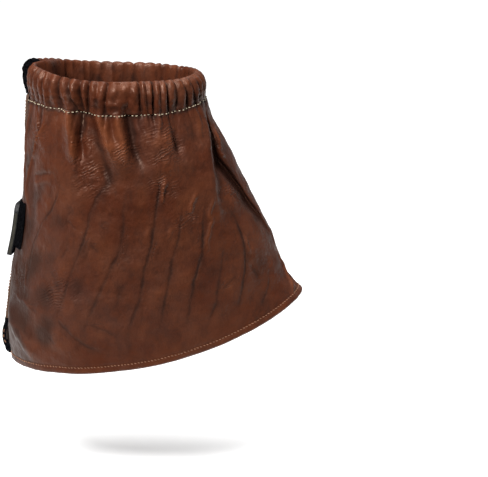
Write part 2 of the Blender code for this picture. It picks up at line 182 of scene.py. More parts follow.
# The lap: how far the under end steps in, and how far the edge over it stands off.
LAP = (
    ("drop", "step_in", "edge_lift"),
    (0.00, 9.6, 2.2),
    (0.10, 6.2, 0.8),
    (0.20, 5.6, 0.2),
    (0.70, 5.6, 0.2),
    (0.84, 5.6, 0.4),
    (0.88, 5.6, 1.2),
    (0.92, 5.6, 4.4),
    (0.96, 5.6, 5.0),
    (1.00, 5.6, 3.4),
)
STEP_FROM_TURN = 166.0
STEP_TO_TURN = 186.0
LIFT_FROM_TURN = -154.0
CASING_LEAN = 1.6 * MM

# The fine surface of the leather. Its lines and spots are places of turn and drop, and distances over it are
# in millimetres on the panel laid flat.
GIRTH_PER_TURN = 1.2
PANEL_HEIGHT = 165.0

# Fine columns of the panel: which column stands at each turn. The rows are placed in the same way.
PANEL_COLUMNS = (
    ("column", "turn"),
    (0, 214.0),
    (4, 212.8),
    (36, 180.0),
    (264, 42.0),
    (392, 0.0),
    (568, -175.8),
    (572, -177.0),
)
PANEL_ROWS = ((0, 0.0), (148, 0.985), (156, 1.0))
# The inner faces are coarser: they have one in so many of the outer faces' points.
PANEL_INNER_EVERY = 4
SMALL_INNER_EVERY = 2

# Uneven fields: how much each gives at its most, how long its waves are, and the seed that draws them.
# Most give millimetres. The rubs give shares, and seam_waver gives a drop.
RIPPLES = {
    "crease_bend_round": (0.5, 12.0, 3),
    "crease_bend_down": (0.5, 12.0, 4),
    "swells": (0.30, 26.0, 6),
    "dents": (0.12, 9.0, 7),
    "panel_rub": (0.10, 22.0, 8),
    "crumples": (0.10, 6.0, 9),
    "gather_fade": (4.0, 16.0, 10),
    "gather_bend": (0.5, 20.0, 12),
    "casing_dents": (0.19, 6.0, 13),
    "casing_crumples": (0.11, 2.8, 14),
    "slack_dents": (0.5, 8.0, 15),
    "casing_rub": (0.12, 9.0, 16),
    "seam_waver": (0.0018, 14.0, 21),
}
RIPPLE_WAVES = 16
RIPPLE_SIZES = (0.7, 1.5)

# Dark veins in the hide, from the head of each to its foot, and how dark they are.
VEINS = (
    ("places", "dark"),
    (((119, 0.25), (122, 0.29), (125, 0.34), (128, 0.38), (135, 0.43), (139, 0.48), (142, 0.52),
      (142, 0.62), (140, 0.69)), 0.75),
    (((92, 0.17), (93, 0.26), (96, 0.28), (100, 0.32), (104, 0.38), (106, 0.45), (109, 0.51),
      (114, 0.63), (117, 0.73), (119, 0.81)), 0.75),
    (((84, 0.27), (88, 0.33), (90, 0.46), (92, 0.54), (96, 0.62), (100, 0.71), (104, 0.80),
      (108, 0.87)), 0.8),
    (((90, 0.64), (92, 0.71), (93, 0.76)), 0.5),
    (((66, 0.17), (70, 0.27), (72, 0.34), (75, 0.41), (78, 0.52), (82, 0.61), (84, 0.72), (88, 0.82),
      (90, 0.91)), 1.0),
    (((59, 0.35), (65, 0.51), (70, 0.60), (73, 0.70), (76, 0.80), (78, 0.88)), 0.8),
    (((45, 0.36), (52, 0.49), (56, 0.60), (62, 0.69), (65, 0.80), (69, 0.91)), 1.0),
    (((44, 0.58), (48, 0.67), (52, 0.76), (55, 0.83), (61, 0.92)), 0.75),
    (((42, 0.75), (47, 0.77), (52, 0.78)), 0.5),
    (((36, 0.43), (32, 0.52), (33, 0.60), (35, 0.68), (38, 0.76), (44, 0.86), (48, 0.93)), 1.0),
    (((23, 0.84), (28, 0.89), (34, 0.92), (37, 0.95)), 0.75),
    (((140, 0.74), (130, 0.77)), 0.5),
    (((120, 0.40), (115, 0.42), (111, 0.45)), 0.45),
    (((116, 0.51), (120, 0.56)), 0.4),
    (((104, 0.49), (100, 0.53)), 0.6),
    (((124, 0.85), (120, 0.89)), 0.5),
    (((88, 0.48), (90, 0.57)), 0.35),
    (((133, 0.46), (130, 0.53), (131, 0.57)), 0.45),
    (((126, 0.60), (122, 0.63), (119, 0.68)), 0.45),
    (((74, 0.52), (76, 0.56), (75, 0.60)), 0.35),
    (((60, 0.47), (57, 0.52), (60, 0.56)), 0.35),
    (((48, 0.60), (44, 0.66)), 0.4),
    (((96, 0.40), (99, 0.43)), 0.4),
    (((112, 0.36), (117, 0.39), (118, 0.43)), 0.4),
    (((120, 0.76), (116, 0.81), (110, 0.85), (104, 0.89), (96, 0.93)), 0.7),
    (((104, 0.80), (96, 0.83), (92, 0.86)), 0.6),
)
# The inner side has like veins. Each one is a vein of the outer side, moved a little.
INNER_VEIN_MOVES = ((6.0, -0.03), (-5.0, 0.04), (3.0, 0.02), (-7.0, -0.02))
# A vein is lost at this reach, fades before it, and fades over this share of its length at both ends. Where
# none is near, its distance is set to NO_VEIN.
VEIN_REACH = 4.0
VEIN_FADE = 2.0
VEIN_END = 0.25
NO_VEIN = 9.0

# Short folds, from end to end: a crest where the height is over 0, or else a trough.
CREASES = (
    ("places", "height", "spread"),
    (((121, -0.04), (115, 0.053), (112, 0.105), (112, 0.20)), 0.8, 3.2),
    (((112, -0.04), (108, 0.057), (108, 0.12), (108, 0.20)), -1.3, 2.8),
    (((104, -0.04), (100, 0.042), (96, 0.125), (94, 0.20), (94, 0.29)), -1.1, 3.4),
    (((100, -0.04), (95, 0.057), (92, 0.113), (89, 0.17)), 1.0, 3.0),
    (((93, -0.03), (90, 0.038), (88, 0.11)), -0.8, 1.8),
    (((88, -0.04), (86, 0.038), (85, 0.095), (84, 0.19)), 1.1, 3.2),
    (((80, -0.04), (80, 0.057), (80, 0.135), (80, 0.21)), -1.5, 4.2),
    (((73, -0.03), (74, 0.027), (71, 0.09)), -0.7, 2.0),
    (((66, -0.03), (66, 0.05)), -0.7, 2.4),
    (((62, -0.03), (62, 0.042), (66, 0.11)), 0.7, 1.8),
    (((65, 0.08), (57, 0.16)), 0.6, 6.0),
    (((51, 0.07), (54, 0.18)), -0.8, 3.2),
    (((29, 0.00), (30, 0.088), (36, 0.15)), 0.5, 2.5),
    (((66, 0.25), (68, 0.305), (71, 0.36)), 0.5, 1.0),
    (((150, 0.02), (145, 0.05), (143, 0.10)), 0.5, 1.0),
    (((137, 0.00), (136, 0.08), (144, 0.14), (152, 0.24), (156, 0.33), (153, 0.38), (149, 0.43)), 0.9, 1.3),
    (((142, 0.00), (141, 0.08), (149, 0.16)), -0.6, 1.6),
    (((160, 0.00), (160, 0.10), (163, 0.25), (158, 0.40)), 0.6, 1.4),
    (((150, 0.27), (136, 0.25), (131, 0.24), (126, 0.25)), -0.6, 1.0),
    (((150, 0.30), (136, 0.275), (128, 0.27)), 0.4, 1.2),
    (((112, 0.30), (108, 0.28), (103, 0.27)), -0.4, 1.0),
    (((112, 0.32), (107, 0.30), (102, 0.29)), 0.2, 1.0),
    (((94, 0.35), (93, 0.38)), 0.4, 0.9),
    (((67, 0.24), (69, 0.31), (71, 0.36)), 0.7, 1.1),
    (((50, 0.35), (55, 0.39), (57, 0.43)), 0.6, 1.2),
    (((42, 0.40), (46, 0.44), (48, 0.49)), 0.6, 1.2),
    (((44, 0.46), (49, 0.51), (52, 0.56), (54, 0.61)), 0.6, 1.2),
    (((31, 0.60), (32, 0.66), (33, 0.70)), 0.6, 1.4),
    (((20, 0.19), (19, 0.22)), -1.4, 2.6),
    (((6, 0.12), (13, 0.16), (15, 0.19), (16, 0.23)), 0.7, 1.1),
    (((26, 0.21), (23, 0.25), (17, 0.27)), 0.6, 1.2),
    (((7, 0.78), (4, 0.86), (9, 0.94), (18, 0.985)), 0.9, 1.5),
    (((1, 0.84), (1, 0.91), (6, 0.97)), -1.0, 2.2),
    (((159, 0.61), (155, 0.66)), 0.4, 0.9),
    (((146, 0.59), (142, 0.69)), 0.5, 1.1),
    (((166, 0.82), (152, 0.83), (144, 0.84), (139, 0.88), (135, 0.92)), 0.3, 1.8),
    (((160, 0.88), (146, 0.89), (139, 0.94)), -0.3, 2.0),
    (((158, 0.71), (140, 0.74), (128, 0.77)), 0.4, 1.0),
    (((34, 0.73), (30, 0.83)), -0.4, 1.2),
    (((78, 0.44), (80, 0.49)), 0.35, 0.9),
    (((68, 0.45), (70, 0.51)), 0.35, 0.9),
    (((-110, 0.01), (-104, 0.06), (-101, 0.15)), 1.0, 2.6),
    (((-118, 0.00), (-114, 0.10), (-116, 0.18)), -1.1, 2.2),
    (((-96, 0.02), (-97, 0.12)), -1.2, 2.4),
    (((-88, 0.01), (-90, 0.10), (-94, 0.19)), 1.0, 2.4),
    (((-76, 0.01), (-79, 0.11)), -1.1, 2.4),
    (((-64, 0.02), (-68, 0.14), (-72, 0.22)), 1.0, 3.0),
    (((-48, 0.02), (-53, 0.12)), -0.9, 2.4),
    (((-140, 0.01), (-136, 0.14), (-139, 0.24)), 0.8, 1.8),
    (((-150, 0.10), (-146, 0.40)), 0.6, 1.3),
    (((-140, 0.26), (-128, 0.24), (-122, 0.26)), -0.6, 1.1),
    (((-66, 0.30), (-72, 0.42)), 0.6, 1.4),
    (((-50, 0.36), (-57, 0.48)), 0.6, 1.4),
    (((-96, 0.28), (-104, 0.37)), 0.5, 1.3),
    (((-110, 0.34), (-118, 0.33)), -0.5, 1.2),
    (((-154, 0.82), (-144, 0.85), (-134, 0.91)), 0.9, 1.8),
    (((-84, 0.46), (-90, 0.56)), -0.4, 1.2),
    (((-26, 0.22), (-20, 0.26)), -1.0, 2.4),
)
# How far a crease of height 1 stands out, over which share of its length it rises, and from what at its ends.
CREASE_HEIGHT = 1.7
CREASE_END = 0.35
CREASE_END_START = 0.15

# Patches of fine wrinkles: middle, reach in millimetres, lean of the wrinkles from upright in degrees.
WRINKLE_PATCHES = (
    ("turn", "drop", "reach", "lean", "height"),
    (102.0, 0.24, 11.0, 32.0, 0.30),
    (106.0, 0.10, 8.0, 20.0, 0.24),
    (85.0, 0.14, 9.0, -35.0, 0.24),
    (60.0, 0.11, 14.0, 35.0, 0.22),
    (68.0, 0.29, 9.0, 12.0, 0.28),
    (59.0, 0.44, 8.0, 20.0, 0.26),
    (64.0, 0.18, 10.0, 8.0, 0.22),
    (142.0, 0.12, 10.0, -14.0, 0.22),
    (150.0, 0.66, 12.0, 40.0, 0.16),
    (24.0, 0.20, 8.0, 15.0, 0.26),
    (120.0, 0.68, 12.0, 25.0, 0.14),
    (-60.0, 0.14, 12.0, -30.0, 0.26),
    (-92.0, 0.22, 12.0, 20.0, 0.28),
    (-120.0, 0.14, 10.0, 30.0, 0.24),
    (-74.0, 0.36, 10.0, -12.0, 0.26),
    (-104.0, 0.62, 12.0, -25.0, 0.18),
    (-146.0, 0.70, 10.0, 30.0, 0.18),
    (-30.0, 0.30, 9.0, -15.0, 0.24),
    (26.0, 0.42, 8.0, -30.0, 0.26),
    (110.0, 0.19, 6.0, 40.0, 0.30),
)
WRINKLE_SPACING = 4.4
WRINKLE_HEIGHT = 1.4
WRINKLE_BEND = 0.7
WRINKLE_BEND_LENGTH = 9.0
WRINKLE_FIRST_SEED = 20

# Under the casing seam the gathers run on and fade, and the thread draws the leather in. The hem's thread
# draws a line too, the leather under it stands out as it is double, and its edge is round.
GATHERS_BELOW = 0.6
GATHERS_BELOW_FADE = 9.0
GATHERS_BELOW_MIDDLE = 0.4
SEAM_PINCH, SEAM_PINCH_SPREAD = 0.45, 1.2
HEM_LINE, HEM_LINE_SPREAD = 0.35, 0.8
HEM_RAISED, HEM_RAISED_OVER_SEAM, HEM_RAISED_EASE = 0.35, 0.6, 1.4
HEM_ROUND, HEM_ROUND_REACH = 0.9, 1.1
HEM_DOUBLE_OVER_SEAM = 2.0

# How light the leather is painted, from 0 to 1: plain leather, and what its relief and its places add or
# take. It is partly rubbed wear and partly painted light and shade: painted highlight on raised relief, folds
# and crests, painted shade in the front valley and under the casing seam, and painted sheen with rubbed wear
# on the raised hem.
PANEL_WEAR_AND_PAINTED_LIGHT = {
    "plain": 0.42,
    "relief": 0.18,
    "crests": 0.30,
    "folds": 0.04,
    "valleys": -0.055,
    "hem": 0.08,
    "seam": -0.55,
}
SEAM_SHADE_BELOW, SEAM_SHADE_SPREAD = 0.9, 1.7
# On the casing the value is nearly all painted light: its top is painted lighter, as if lit from above, the
# crests of its gathers get painted highlight and their valleys get painted shade.
CASING_WEAR_AND_PAINTED_LIGHT = {"plain": 0.06, "height": 0.30, "gathers": 0.60}
CASING_WEAR_AND_PAINTED_LIGHT_MIDDLE = 0.35
BLOOM_EVERYWHERE = 0.05

# Where a dusty bloom lies on the hide. At the back edges and over the lower back it also paints a grey sheen.
BLOOM_AND_SHEEN = (
    ("turn", "drop", "turn_reach", "drop_reach", "share"),
    (144.0, 0.58, 30.0, 0.28, 0.56),
    (180.0, 0.60, 24.0, 0.80, 0.60),
    (-172.0, 0.60, 22.0, 0.80, 0.80),
    (66.0, 0.10, 22.0, 0.14, 0.45),
    (100.0, 0.80, 60.0, 0.20, 0.30),
    (8.0, 0.80, 10.0, 0.30, 0.25),
    (-120.0, 0.60, 50.0, 0.40, 0.70),
)

# Darker and lighter stretches: painted shade on the lower back, along the back edges and on the front facet,
# and a few small patches painted lighter or darker.
TONES_AND_PAINTED_SHADE = (
    ("turn", "drop", "turn_reach", "drop_reach", "change"),
    (162.0, 0.80, 36.0, 0.34, -0.54),
    (182.0, 0.40, 28.0, 0.60, -0.62),
    (-172.0, 0.50, 24.0, 0.80, -0.62),
    (36.0, 0.25, 12.0, 0.30, -0.12),
    (16.0, 0.40, 14.0, 0.40, -0.20),
    (24.0, 0.85, 16.0, 0.20, -0.08),
    (100.0, 0.12, 20.0, 0.12, 0.08),
    (66.0, 0.16, 16.0, 0.12, 0.08),
    (93.0, 0.23, 3.0, 0.045, -0.45),
    (84.5, 0.31, 2.6, 0.050, -0.40),
)

# Valleys between the casing's gathers on the outer side, from the heel to the front, at their heads and feet.
OUTER_VALLEYS = (
    ("head", "foot", "depth"),
    (160.0, 164.0, 0.60),
    (153.8, 157.2, 0.55),
    (147.5, 148.5, 0.60),
    (141.0, 140.8, 0.65),
    (135.8, 134.5, 0.50),
    (126.8, 125.5, 1.00),
    (119.5, 112.8, 0.95),
    (111.0, 108.8, 1.00),
    (103.8, 105.5, 0.95),
    (98.2, 99.2, 0.40),
    (92.5, 94.0, 0.85),
    (85.5, 89.5, 0.30),
    (79.0, 81.8, 0.30),
    (73.5, 71.8, 1.00),
    (69.0, 68.0, 0.45),
    (63.8, 65.2, 1.00),
    (58.0, 59.8, 0.45),
    (52.8, 53.8, 1.00),
    (44.5, 46.5, 0.65),
    (36.8, 36.0, 0.85),
    (28.8, 26.2, 0.65),
    (20.0, 18.5, 0.75),
    (11.0, 10.0, 0.60),
    (2.5, 3.0, 0.85),
)
# Elsewhere the valleys stand in steps, in degrees, and are moved, slanted and deepened at random.
INNER_VALLEY_STEP = 7.6
INNER_VALLEY_SHIFT = 1.6
UNDER_VALLEY_STEP = 8.0
VALLEY_SLANT = 1.8
VALLEY_DEPTHS = (0.4, 1.0)
VALLEY_SEED = 11
GATHER_SHARPNESS = 0.85
# Round this turn the gathers are slack, and near the lap's under end the casing is flat.
SLACK_TURN = 83.0
SLACK_SPREAD = 11.0
SLACK_SHARE = 0.5
FLAT_CASING_TURN = 173.0

# The way of the leather up the casing's face, over its top and down behind, and the gathers' share.
CASING_WAY = (
    ("way", "out", "up", "gather"),
    (0.00, 0.45, 0.00, 0.45),
    (0.06, 0.5, 0.08, 0.70),
    (0.14, 1.1, 0.22, 0.95),
    (0.28, 2.2, 0.50, 1.00),
    (0.38, 2.2, 0.74, 1.00),
    (0.45, 1.2, 0.90, 0.95),
    (0.52, -0.7, 1.00, 0.85),
    (0.58, -2.2, 1.03, 0.65),
    (0.65, -3.8, 0.96, 0.45),
    (0.75, -4.9, 0.70, 0.35),
    (0.90, -5.2, 0.25, 0.25),
    (1.00, -4.6, 0.02, 0.15),
)
CASING_WAY_POINTS = 41
CASING_COLUMN_TURN = 0.5
CASING_STRIP = 42.0
CASING_LEATHER = 1.2 * MM
# Where along its way the leather turns over the casing's top, and how far the turn reaches to both sides.
CASING_CREST = 0.55
CASING_TURNING = 0.12
# The thread pinches the casing's foot, and its crest rises and falls with the gathers.
CASING_PINCH, CASING_PINCH_SPREAD = 0.35, 0.03
CREST_RISE, CREST_MIDDLE, CREST_SPREAD = 0.07, 0.3, 0.10

# The hook and loop tapes on the panel, and below them those on the casing.
LOOP_TAPES = (
    ("name", "head_drop", "foot_drop", "from_turn", "to_turn"),
    ("loop_patch_mid", 0.38, 0.555, 206.0, 155.0),
    ("loop_patch_heel", 0.74, 0.87, 208.0, 184.0),
)
HOOK_TAPES = (
    ("name", "head_drop", "foot_drop", "from_turn", "to_turn"),
    ("hook_patch_heel", 0.74, 0.87, -154.0, -174.0),
)
TAPE = 1.2 * MM
TAPE_BASE = 0.5 * MM
TAPE_COLUMNS = 33
TAPE_ROWS = 13
CLEARANCE = 0.3 * MM
# Their pile of bristles: its radius, bend and height, how far hooks turn, and how evenly it is set.
BRISTLE = 0.13 * MM
BRISTLE_BEND = 0.6 * MM
BRISTLE_HEIGHTS = (0.6, 1.2)
HOOK_SPIN = 0.5
PILE_MARGIN = 0.3 * MM
PILE_SCATTER = 0.12
LOOP_TOP_TURNS = (208.0, 177.0)
HOOK_TOP_TURNS = (-152.0, -174.5)
CASING_TAPE_HEIGHTS = (0.66, 0.10)
CASING_TAPE_GAP = 0.55 * MM

# The black tapes that are folded round the lap's end, at the heel and at the casing. As black sheets they
# also stand for the shade that falls over the lap's cut end. Each has an inner and an outer face, so far from
# the leather and so many degrees beyond its cut end.
BAND_LIFTS = (0.3 * MM, 0.7 * MM)
BAND_BEYOND = (0.25, 0.60)
# At the heel it runs over the outer face and then round the cut, through these angles. It takes on the hem's
# thickness a little above the hem.
HEEL_BAND_DROPS = (0.868, 1.006)
HEEL_BAND_TURNS = (7.0, 0.5)
HEEL_BAND_ROUND_CUT = (90.0, -45.0)
HEEL_BAND_HALF_COLUMNS = 10
HEEL_BAND_ROWS = 25
HEEL_BAND_HEM_SHIFT = 0.012
HEEL_STITCH = 0.0032
HEEL_STITCHES_ACROSS = 0.78
HEEL_STITCHES_DOWN = (0.28, 0.70)
HEEL_STITCH_POINTS = 60
# At the casing one piece goes over the top, and a cap closes the cut end under it.
CASING_BAND_REACH = 12.0
CASING_BAND_COLUMNS = 22
CASING_BAND_ROWS = 33
CASING_BAND_WAYS = (0.74, 0.04)
CASING_CAP_WAYS = (0.49, 0.04)
CASING_CAP_LIFT = 0.2 * MM
CASING_CAP_MIDDLE = 0.52
CASING_CAP_COLUMNS = 5
CASING_CAP_ROWS = 17

# The closing tab. It is sewn down at one end, and stands off the lap from TAB_LIFT_FROM_TURN to its free end.
TAB_HEAD_DROP = 0.415
TAB_FOOT_DROP = 0.615
TAB_SEWN_TURN = -134.0
TAB_FREE_TURN = -183.0
TAB_LIFT_FROM_TURN = -166.0
TAB_HEAD_LIFT = 0.9 * MM
TAB_FOOT_LIFT = 0.7 * MM
# Its lower corner is less round than the upper one, and its edges are rounded off. Its cut end is light, and
# is thinner by this share.
TAB_FOOT_ROUND = 0.35
TAB_EDGE_ROUND = 0.35 * MM
TAB_EDGE_REACH = 0.5
TAB_CUT_RIM = 2.0
TAB_END_SHARE = 0.5
TAB_COLUMNS = 72
TAB_ROWS = 41
TAB_HOOKS_FROM_LAP = 1.5
TAB_HOOKS_SHORT = (0.03, 0.01)

# Stitches. Each lies on the leather, lifted a little, and a share of its length shows. SEAM_ENDS and
# LAP_STITCHES_IN are the degrees they keep from the leather's ends.
STITCH_SHIFT = 0.07
STITCH_LENGTHS = (0.8, 1.15)
SEAM_STITCH_DROP = 0.0035
SEAM_STITCH_LIFT = 0.18 * MM
SEAM_STITCH_SHOWN = 0.42
HEM_STITCH_LIFT = 0.12 * MM
HEM_STITCH_SHOWN = 0.62
HEM_STITCH_SLANT = 18.0
HEEL_STITCH_SHOWN = 0.7
LAP_STITCH_SHOWN = 0.76
LAP_STITCHES_IN = 2.6
LAP_STITCHES_HEAD = 0.02
SEAM_ENDS = 1.0
SEAM_POINTS = 900
LAP_POINTS = 400
CREAM_DARK = 0.75
TAN_DARK = 0.5

# The view: how far the camera stands from the middle of its picture, and how much of a metre one of the
# picture's points is there.
VIEW_DISTANCE = 1.185
VIEW_PITCH = 14.0
VIEW_MIDDLE = (0.0808743, 0.0, -0.0994295)
VIEW_POINT = 0.00065
PICTURE_WIDTH = 488

# The stage. The floor ends in front of the gaiter, because its light would wash out the near side. The lamps
# stand at their places from the middle of the view, and point at it.
FLOOR_Z = -0.252
FLOOR_SIDE = 4.0
FLOOR_NEAR = -0.12
FLOOR_FAR = 7.0
FLOOR_GLOW = 0.36
LAMPS = (
    ("name", "place", "size", "power"),
    ("key_light", (-0.48, -0.82, 1.02), 0.36, 26.8),
    ("back_light", (0.5, 0.9, 0.8), 0.8, 1.5),
)
SKY_PLACE = (0.0, 0.2, 1.0)
SKY_SPREAD = 30.0
SKY_POWER = 2.0
STUDIO_GLOW = 0.09
VIEW_END = 20.0
WHITE = (1.0, 1.0, 1.0, 1.0)


def column_values(table, column):
    """The numbers in a column of a table."""
    return np.array([row[table[0].index(column)] for row in table[1:]])


def read(table, column, key):
    """A column of a table, as a smooth curve through its rows. Their first column rises."""
    keys = column_values(table, table[0][0])
    values = column_values(table, column)
    slopes = np.gradient(values, keys)
    row = np.clip(np.searchsorted(keys, key) - 1, 0, len(keys) - 2)
    span = keys[row + 1] - keys[row]
    t = np.clip((key - keys[row]) / span, 0.0, 1.0)
    start = (1 + 2 * t) * (1 - t) ** 2 * values[row] + t * (1 - t) ** 2 * span * slopes[row]
    end = t**2 * (3 - 2 * t) * values[row + 1] + t**2 * (t - 1) * span * slopes[row + 1]
    return start + end


def eased(share):
    """0 to 1 with soft ends."""
    share = np.clip(share, 0.0, 1.0)
    return share * share * (3 - 2 * share)


def bell(away, spread):
    """1 where away is 0, falling softly to 0 on both sides."""
    return np.exp(-((away / spread) ** 2))


def between(turn, other):
    """Degrees from one turn to another, the short way round."""
    return (turn - other + 180.0) % 360.0 - 180.0


def outline(turn, drop):
    """X and Y of the smooth panel, before any fold."""
    sizes = ("back", "front", "half_width", "widest")
    back, front, half_width, widest = (read(LEVELS, size, drop) * MM for size in sizes)
    along = np.cos(np.radians(turn))
    across = np.sin(np.radians(turn))
    power = 2.0 / np.where(along > 0, read(LEVELS, "nose", drop), read(LEVELS, "heel", drop))
    reach = np.where(along > 0, front - widest, widest - back)
    x = widest + reach * np.sign(along) * np.abs(along) ** power
    y = -half_width * np.sign(across) * np.abs(across) ** power
    return x, y


def casing_height(turn, column):
    """The height of the casing's seam or top at a turn."""
    return read(CASING_HEIGHTS, column, np.abs(between(turn, 0.0))) * MM


def hem_z(turn):
    """The hem's height: level behind the ankle, rising over the instep."""
    x, _ = outline(turn, np.ones_like(turn))
    back, front = (column_values(LEVELS, end)[-1] * MM for end in ("back", "front"))
    share = np.clip((x - back) / (front - back), 0.0, 1.0)
    return HEM_BACK_Z + HEM_RISE * share**HEM_RISE_POWER


def long_fold(table, turn, drop, side):
    """A fold that follows a table of rows. side is 1 on the outer side and -1 on the inner side."""
    shift = INNER_SIDE_SHIFT if side < 0 else 0.0
    depth = INNER_SIDE_DEPTH if side < 0 else 1.0
    away = side * between(turn, side * (read(table, "turn", drop) + shift))
    spread = np.where(away > 0, read(table, "heel_spread", drop), read(table, "toe_spread", drop))
    return depth * read(table, "height", drop) * bell(away, spread)


def short_fold(fold, turn, drop):
    """A fold that runs straight from its head to its foot and fades at both."""
    head_turn, head_drop, foot_turn, foot_drop, spread, height = fold
    along = (drop - head_drop) / (foot_drop - head_drop)
    away = between(turn, head_turn + along * (foot_turn - head_turn))
    fade = eased(along / SHORT_FOLD_EASE) * eased((1 - along) / SHORT_FOLD_EASE)
    return height * fade * bell(away, spread)


def folds(turn, drop):
    """How far the folds stand out of the smooth panel, in millimetres."""
    total = sum(long_fold(table, turn, drop, side) for table in (SIDE_CREST, SIDE_HOLLOW) for side in (1, -1))
    return total + sum(short_fold(fold, turn, drop) for fold in SHORT_FOLDS[1:])


def sideways(turn, drop):
    """How far the front valleys move the panel along Y, in millimetres. The outer side faces -Y."""
    return -long_fold(FRONT_VALLEY, turn, drop, 1) + long_fold(FRONT_VALLEY, turn, drop, -1)


def lap_step(turn, drop):
    """How far the lap stands out of the smooth panel, in millimetres. It is below 0 on the under end."""
    inward = eased((turn - STEP_FROM_TURN) / (STEP_TO_TURN - STEP_FROM_TURN))
    lifted = eased((LIFT_FROM_TURN - turn) / (LIFT_FROM_TURN - LAP_EDGE_TURN))
    return read(LAP, "edge_lift", drop) * lifted - read(LAP, "step_in", drop) * inward


def smooth_point(turn, drop):
    """A point of the smooth panel, before any fold."""
    x, y = outline(turn, drop)
    seam_z = casing_height(turn, "seam")
    return np.stack([x, y, seam_z + drop * (hem_z(turn) - seam_z)], axis=-1)


def outward(surface, turn, drop):
    """The outward normal of a surface given as a function of turn and drop."""
    step_turn, step_drop = 0.4, 0.004
    round_leg = surface(turn + step_turn, drop) - surface(turn - step_turn, drop)
    down = surface(turn, drop + step_drop) - surface(turn, drop - step_drop)
    normal = np.cross(round_leg, down)
    return normal / np.linalg.norm(normal, axis=-1, keepdims=True)


def panel_way_out(turn, drop):
    """The direction in which folds lift the panel. At the seam it is level."""
    direction = outward(smooth_point, turn, drop)
    direction[..., 2] *= eased(drop / LEVEL_DROP)
    return direction


def panel_point(turn, drop, fine=0.0):
    """A point of the panel's outer face, with fine millimetres of small folds on top of the large ones."""
    out = (folds(turn, drop) + lap_step(turn, drop) + fine) * MM
    point = smooth_point(turn, drop) + out[..., None] * panel_way_out(turn, drop)
    point[..., 1] += sideways(turn, drop) * MM
    return point


def above_panel(turn, drop, out):
    """A point moved out from the panel's outer face."""
    return panel_point(turn, drop) + outward(panel_point, turn, drop) * np.asarray(out)[..., None]


def flat_place(turn, drop):
    """A place in millimetres on the panel laid flat."""
    return np.asarray(turn) * GIRTH_PER_TURN, np.asarray(drop) * PANEL_HEIGHT


def ripple(across, down, wavelength, seed):
    """A smooth uneven field from about -1 to 1, as a sum of waves in many directions."""
    rng = np.random.default_rng(seed)
    total = np.zeros(np.broadcast(across, down).shape)
    for _ in range(RIPPLE_WAVES):
        angle, phase = rng.uniform(0, 2 * math.pi), rng.uniform(0, 2 * math.pi)
        size = rng.uniform(*RIPPLE_SIZES)
        run = across * math.cos(angle) + down * math.sin(angle)
        total += np.cos(2 * math.pi * run / (wavelength * size) + phase)
    return total / math.sqrt(RIPPLE_WAVES)


def uneven(name, across, down):
    """The uneven field of that name in RIPPLES."""
    most, wavelength, seed = RIPPLES[name]
    return most * ripple(across, down, wavelength, seed)


def distance_to_line(places, turn, drop):
    """Millimetres from a line of places on the flat panel, and the share of the way along it."""
    x, y = flat_place(turn, drop)
    line = np.array([flat_place(*place) for place in places])
    lengths = np.linalg.norm(np.diff(line, axis=0), axis=1)
    starts = np.concatenate([[0.0], np.cumsum(lengths)])
    nearest, along = np.full(x.shape, np.inf), np.zeros(x.shape)
    for (x0, y0), (x1, y1), length, start in zip(line, line[1:], lengths, starts):
        share = np.clip(((x - x0) * (x1 - x0) + (y - y0) * (y1 - y0)) / length**2, 0.0, 1.0)
        away = np.hypot(x - x0 - share * (x1 - x0), y - y0 - share * (y1 - y0))
        along = np.where(away < nearest, (start + share * length) / starts[-1], along)
        nearest = np.minimum(away, nearest)
    return nearest, along


def crease_strength(nearest, along, spread):
    """1 on a crease, falling to 0 beside it and at its ends."""
    head = eased(along / CREASE_END + CREASE_END_START)
    foot = eased((1 - along) / CREASE_END + CREASE_END_START)
    return bell(nearest, spread) * head * foot


def all_veins():
    """The outer side's veins, and the inner side's, which are like them but moved."""
    for places, strength in VEINS[1:]:
        yield places, strength
    for index, (places, strength) in enumerate(VEINS[1:]):
        turn_move, drop_move = INNER_VEIN_MOVES[index % len(INNER_VEIN_MOVES)]
        yield [(-turn + turn_move, drop + drop_move) for turn, drop in places], strength


def gather_valleys():
    """The heads, feet and depths of all valleys between the casing's gathers, with rising turns."""
    rng = np.random.default_rng(VALLEY_SEED)
    inner = np.arange(OUTER_VALLEYS[-1][0], LAP_EDGE_TURN - INNER_VALLEY_STEP, -INNER_VALLEY_STEP)[1:]
    inner = inner + rng.uniform(-INNER_VALLEY_SHIFT, INNER_VALLEY_SHIFT, len(inner))
    step = UNDER_VALLEY_STEP
    under = np.arange(OUTER_VALLEYS[1][0] + step, UNDER_END_TURN + 2.0 * step, step)
    rows = [
        (turn, turn + rng.uniform(-VALLEY_SLANT, VALLEY_SLANT), rng.uniform(*VALLEY_DEPTHS))
        for turn in (*under, *inner)
    ]
    return np.array(sorted((*OUTER_VALLEYS[1:], *rows))).T


GATHER_HEADS, GATHER_FEET, GATHER_DEPTHS = gather_valleys()


def slackness(turn):
    """1 where the casing's gathers are at their slackest, and 0 where they are tight."""
    return bell(turn - SLACK_TURN, SLACK_SPREAD)


def gather_profile(turn, up):
    """The gathers' profile, from -1 in the sharp valleys to 0 on the round crests. A row has one up."""
    rows = np.atleast_2d(turn)
    profile = np.zeros(rows.shape)
    for row, level in enumerate(np.atleast_2d(up)[:, 0]):
        valleys = GATHER_FEET + (GATHER_HEADS - GATHER_FEET) * level
        phase = np.interp(rows[row], valleys, np.arange(len(valleys)))
        depth = np.interp(rows[row], valleys, GATHER_DEPTHS)
        profile[row] = depth * (np.abs(np.sin(math.pi * phase)) ** GATHER_SHARPNESS - 1.0)
    kept = 1.0 - (1.0 - SLACK_SHARE) * slackness(turn)
    flat_end = eased((FLAT_CASING_TURN - turn) / (FLAT_CASING_TURN - STEP_FROM_TURN))
    return profile.reshape(turn.shape) * kept * flat_end


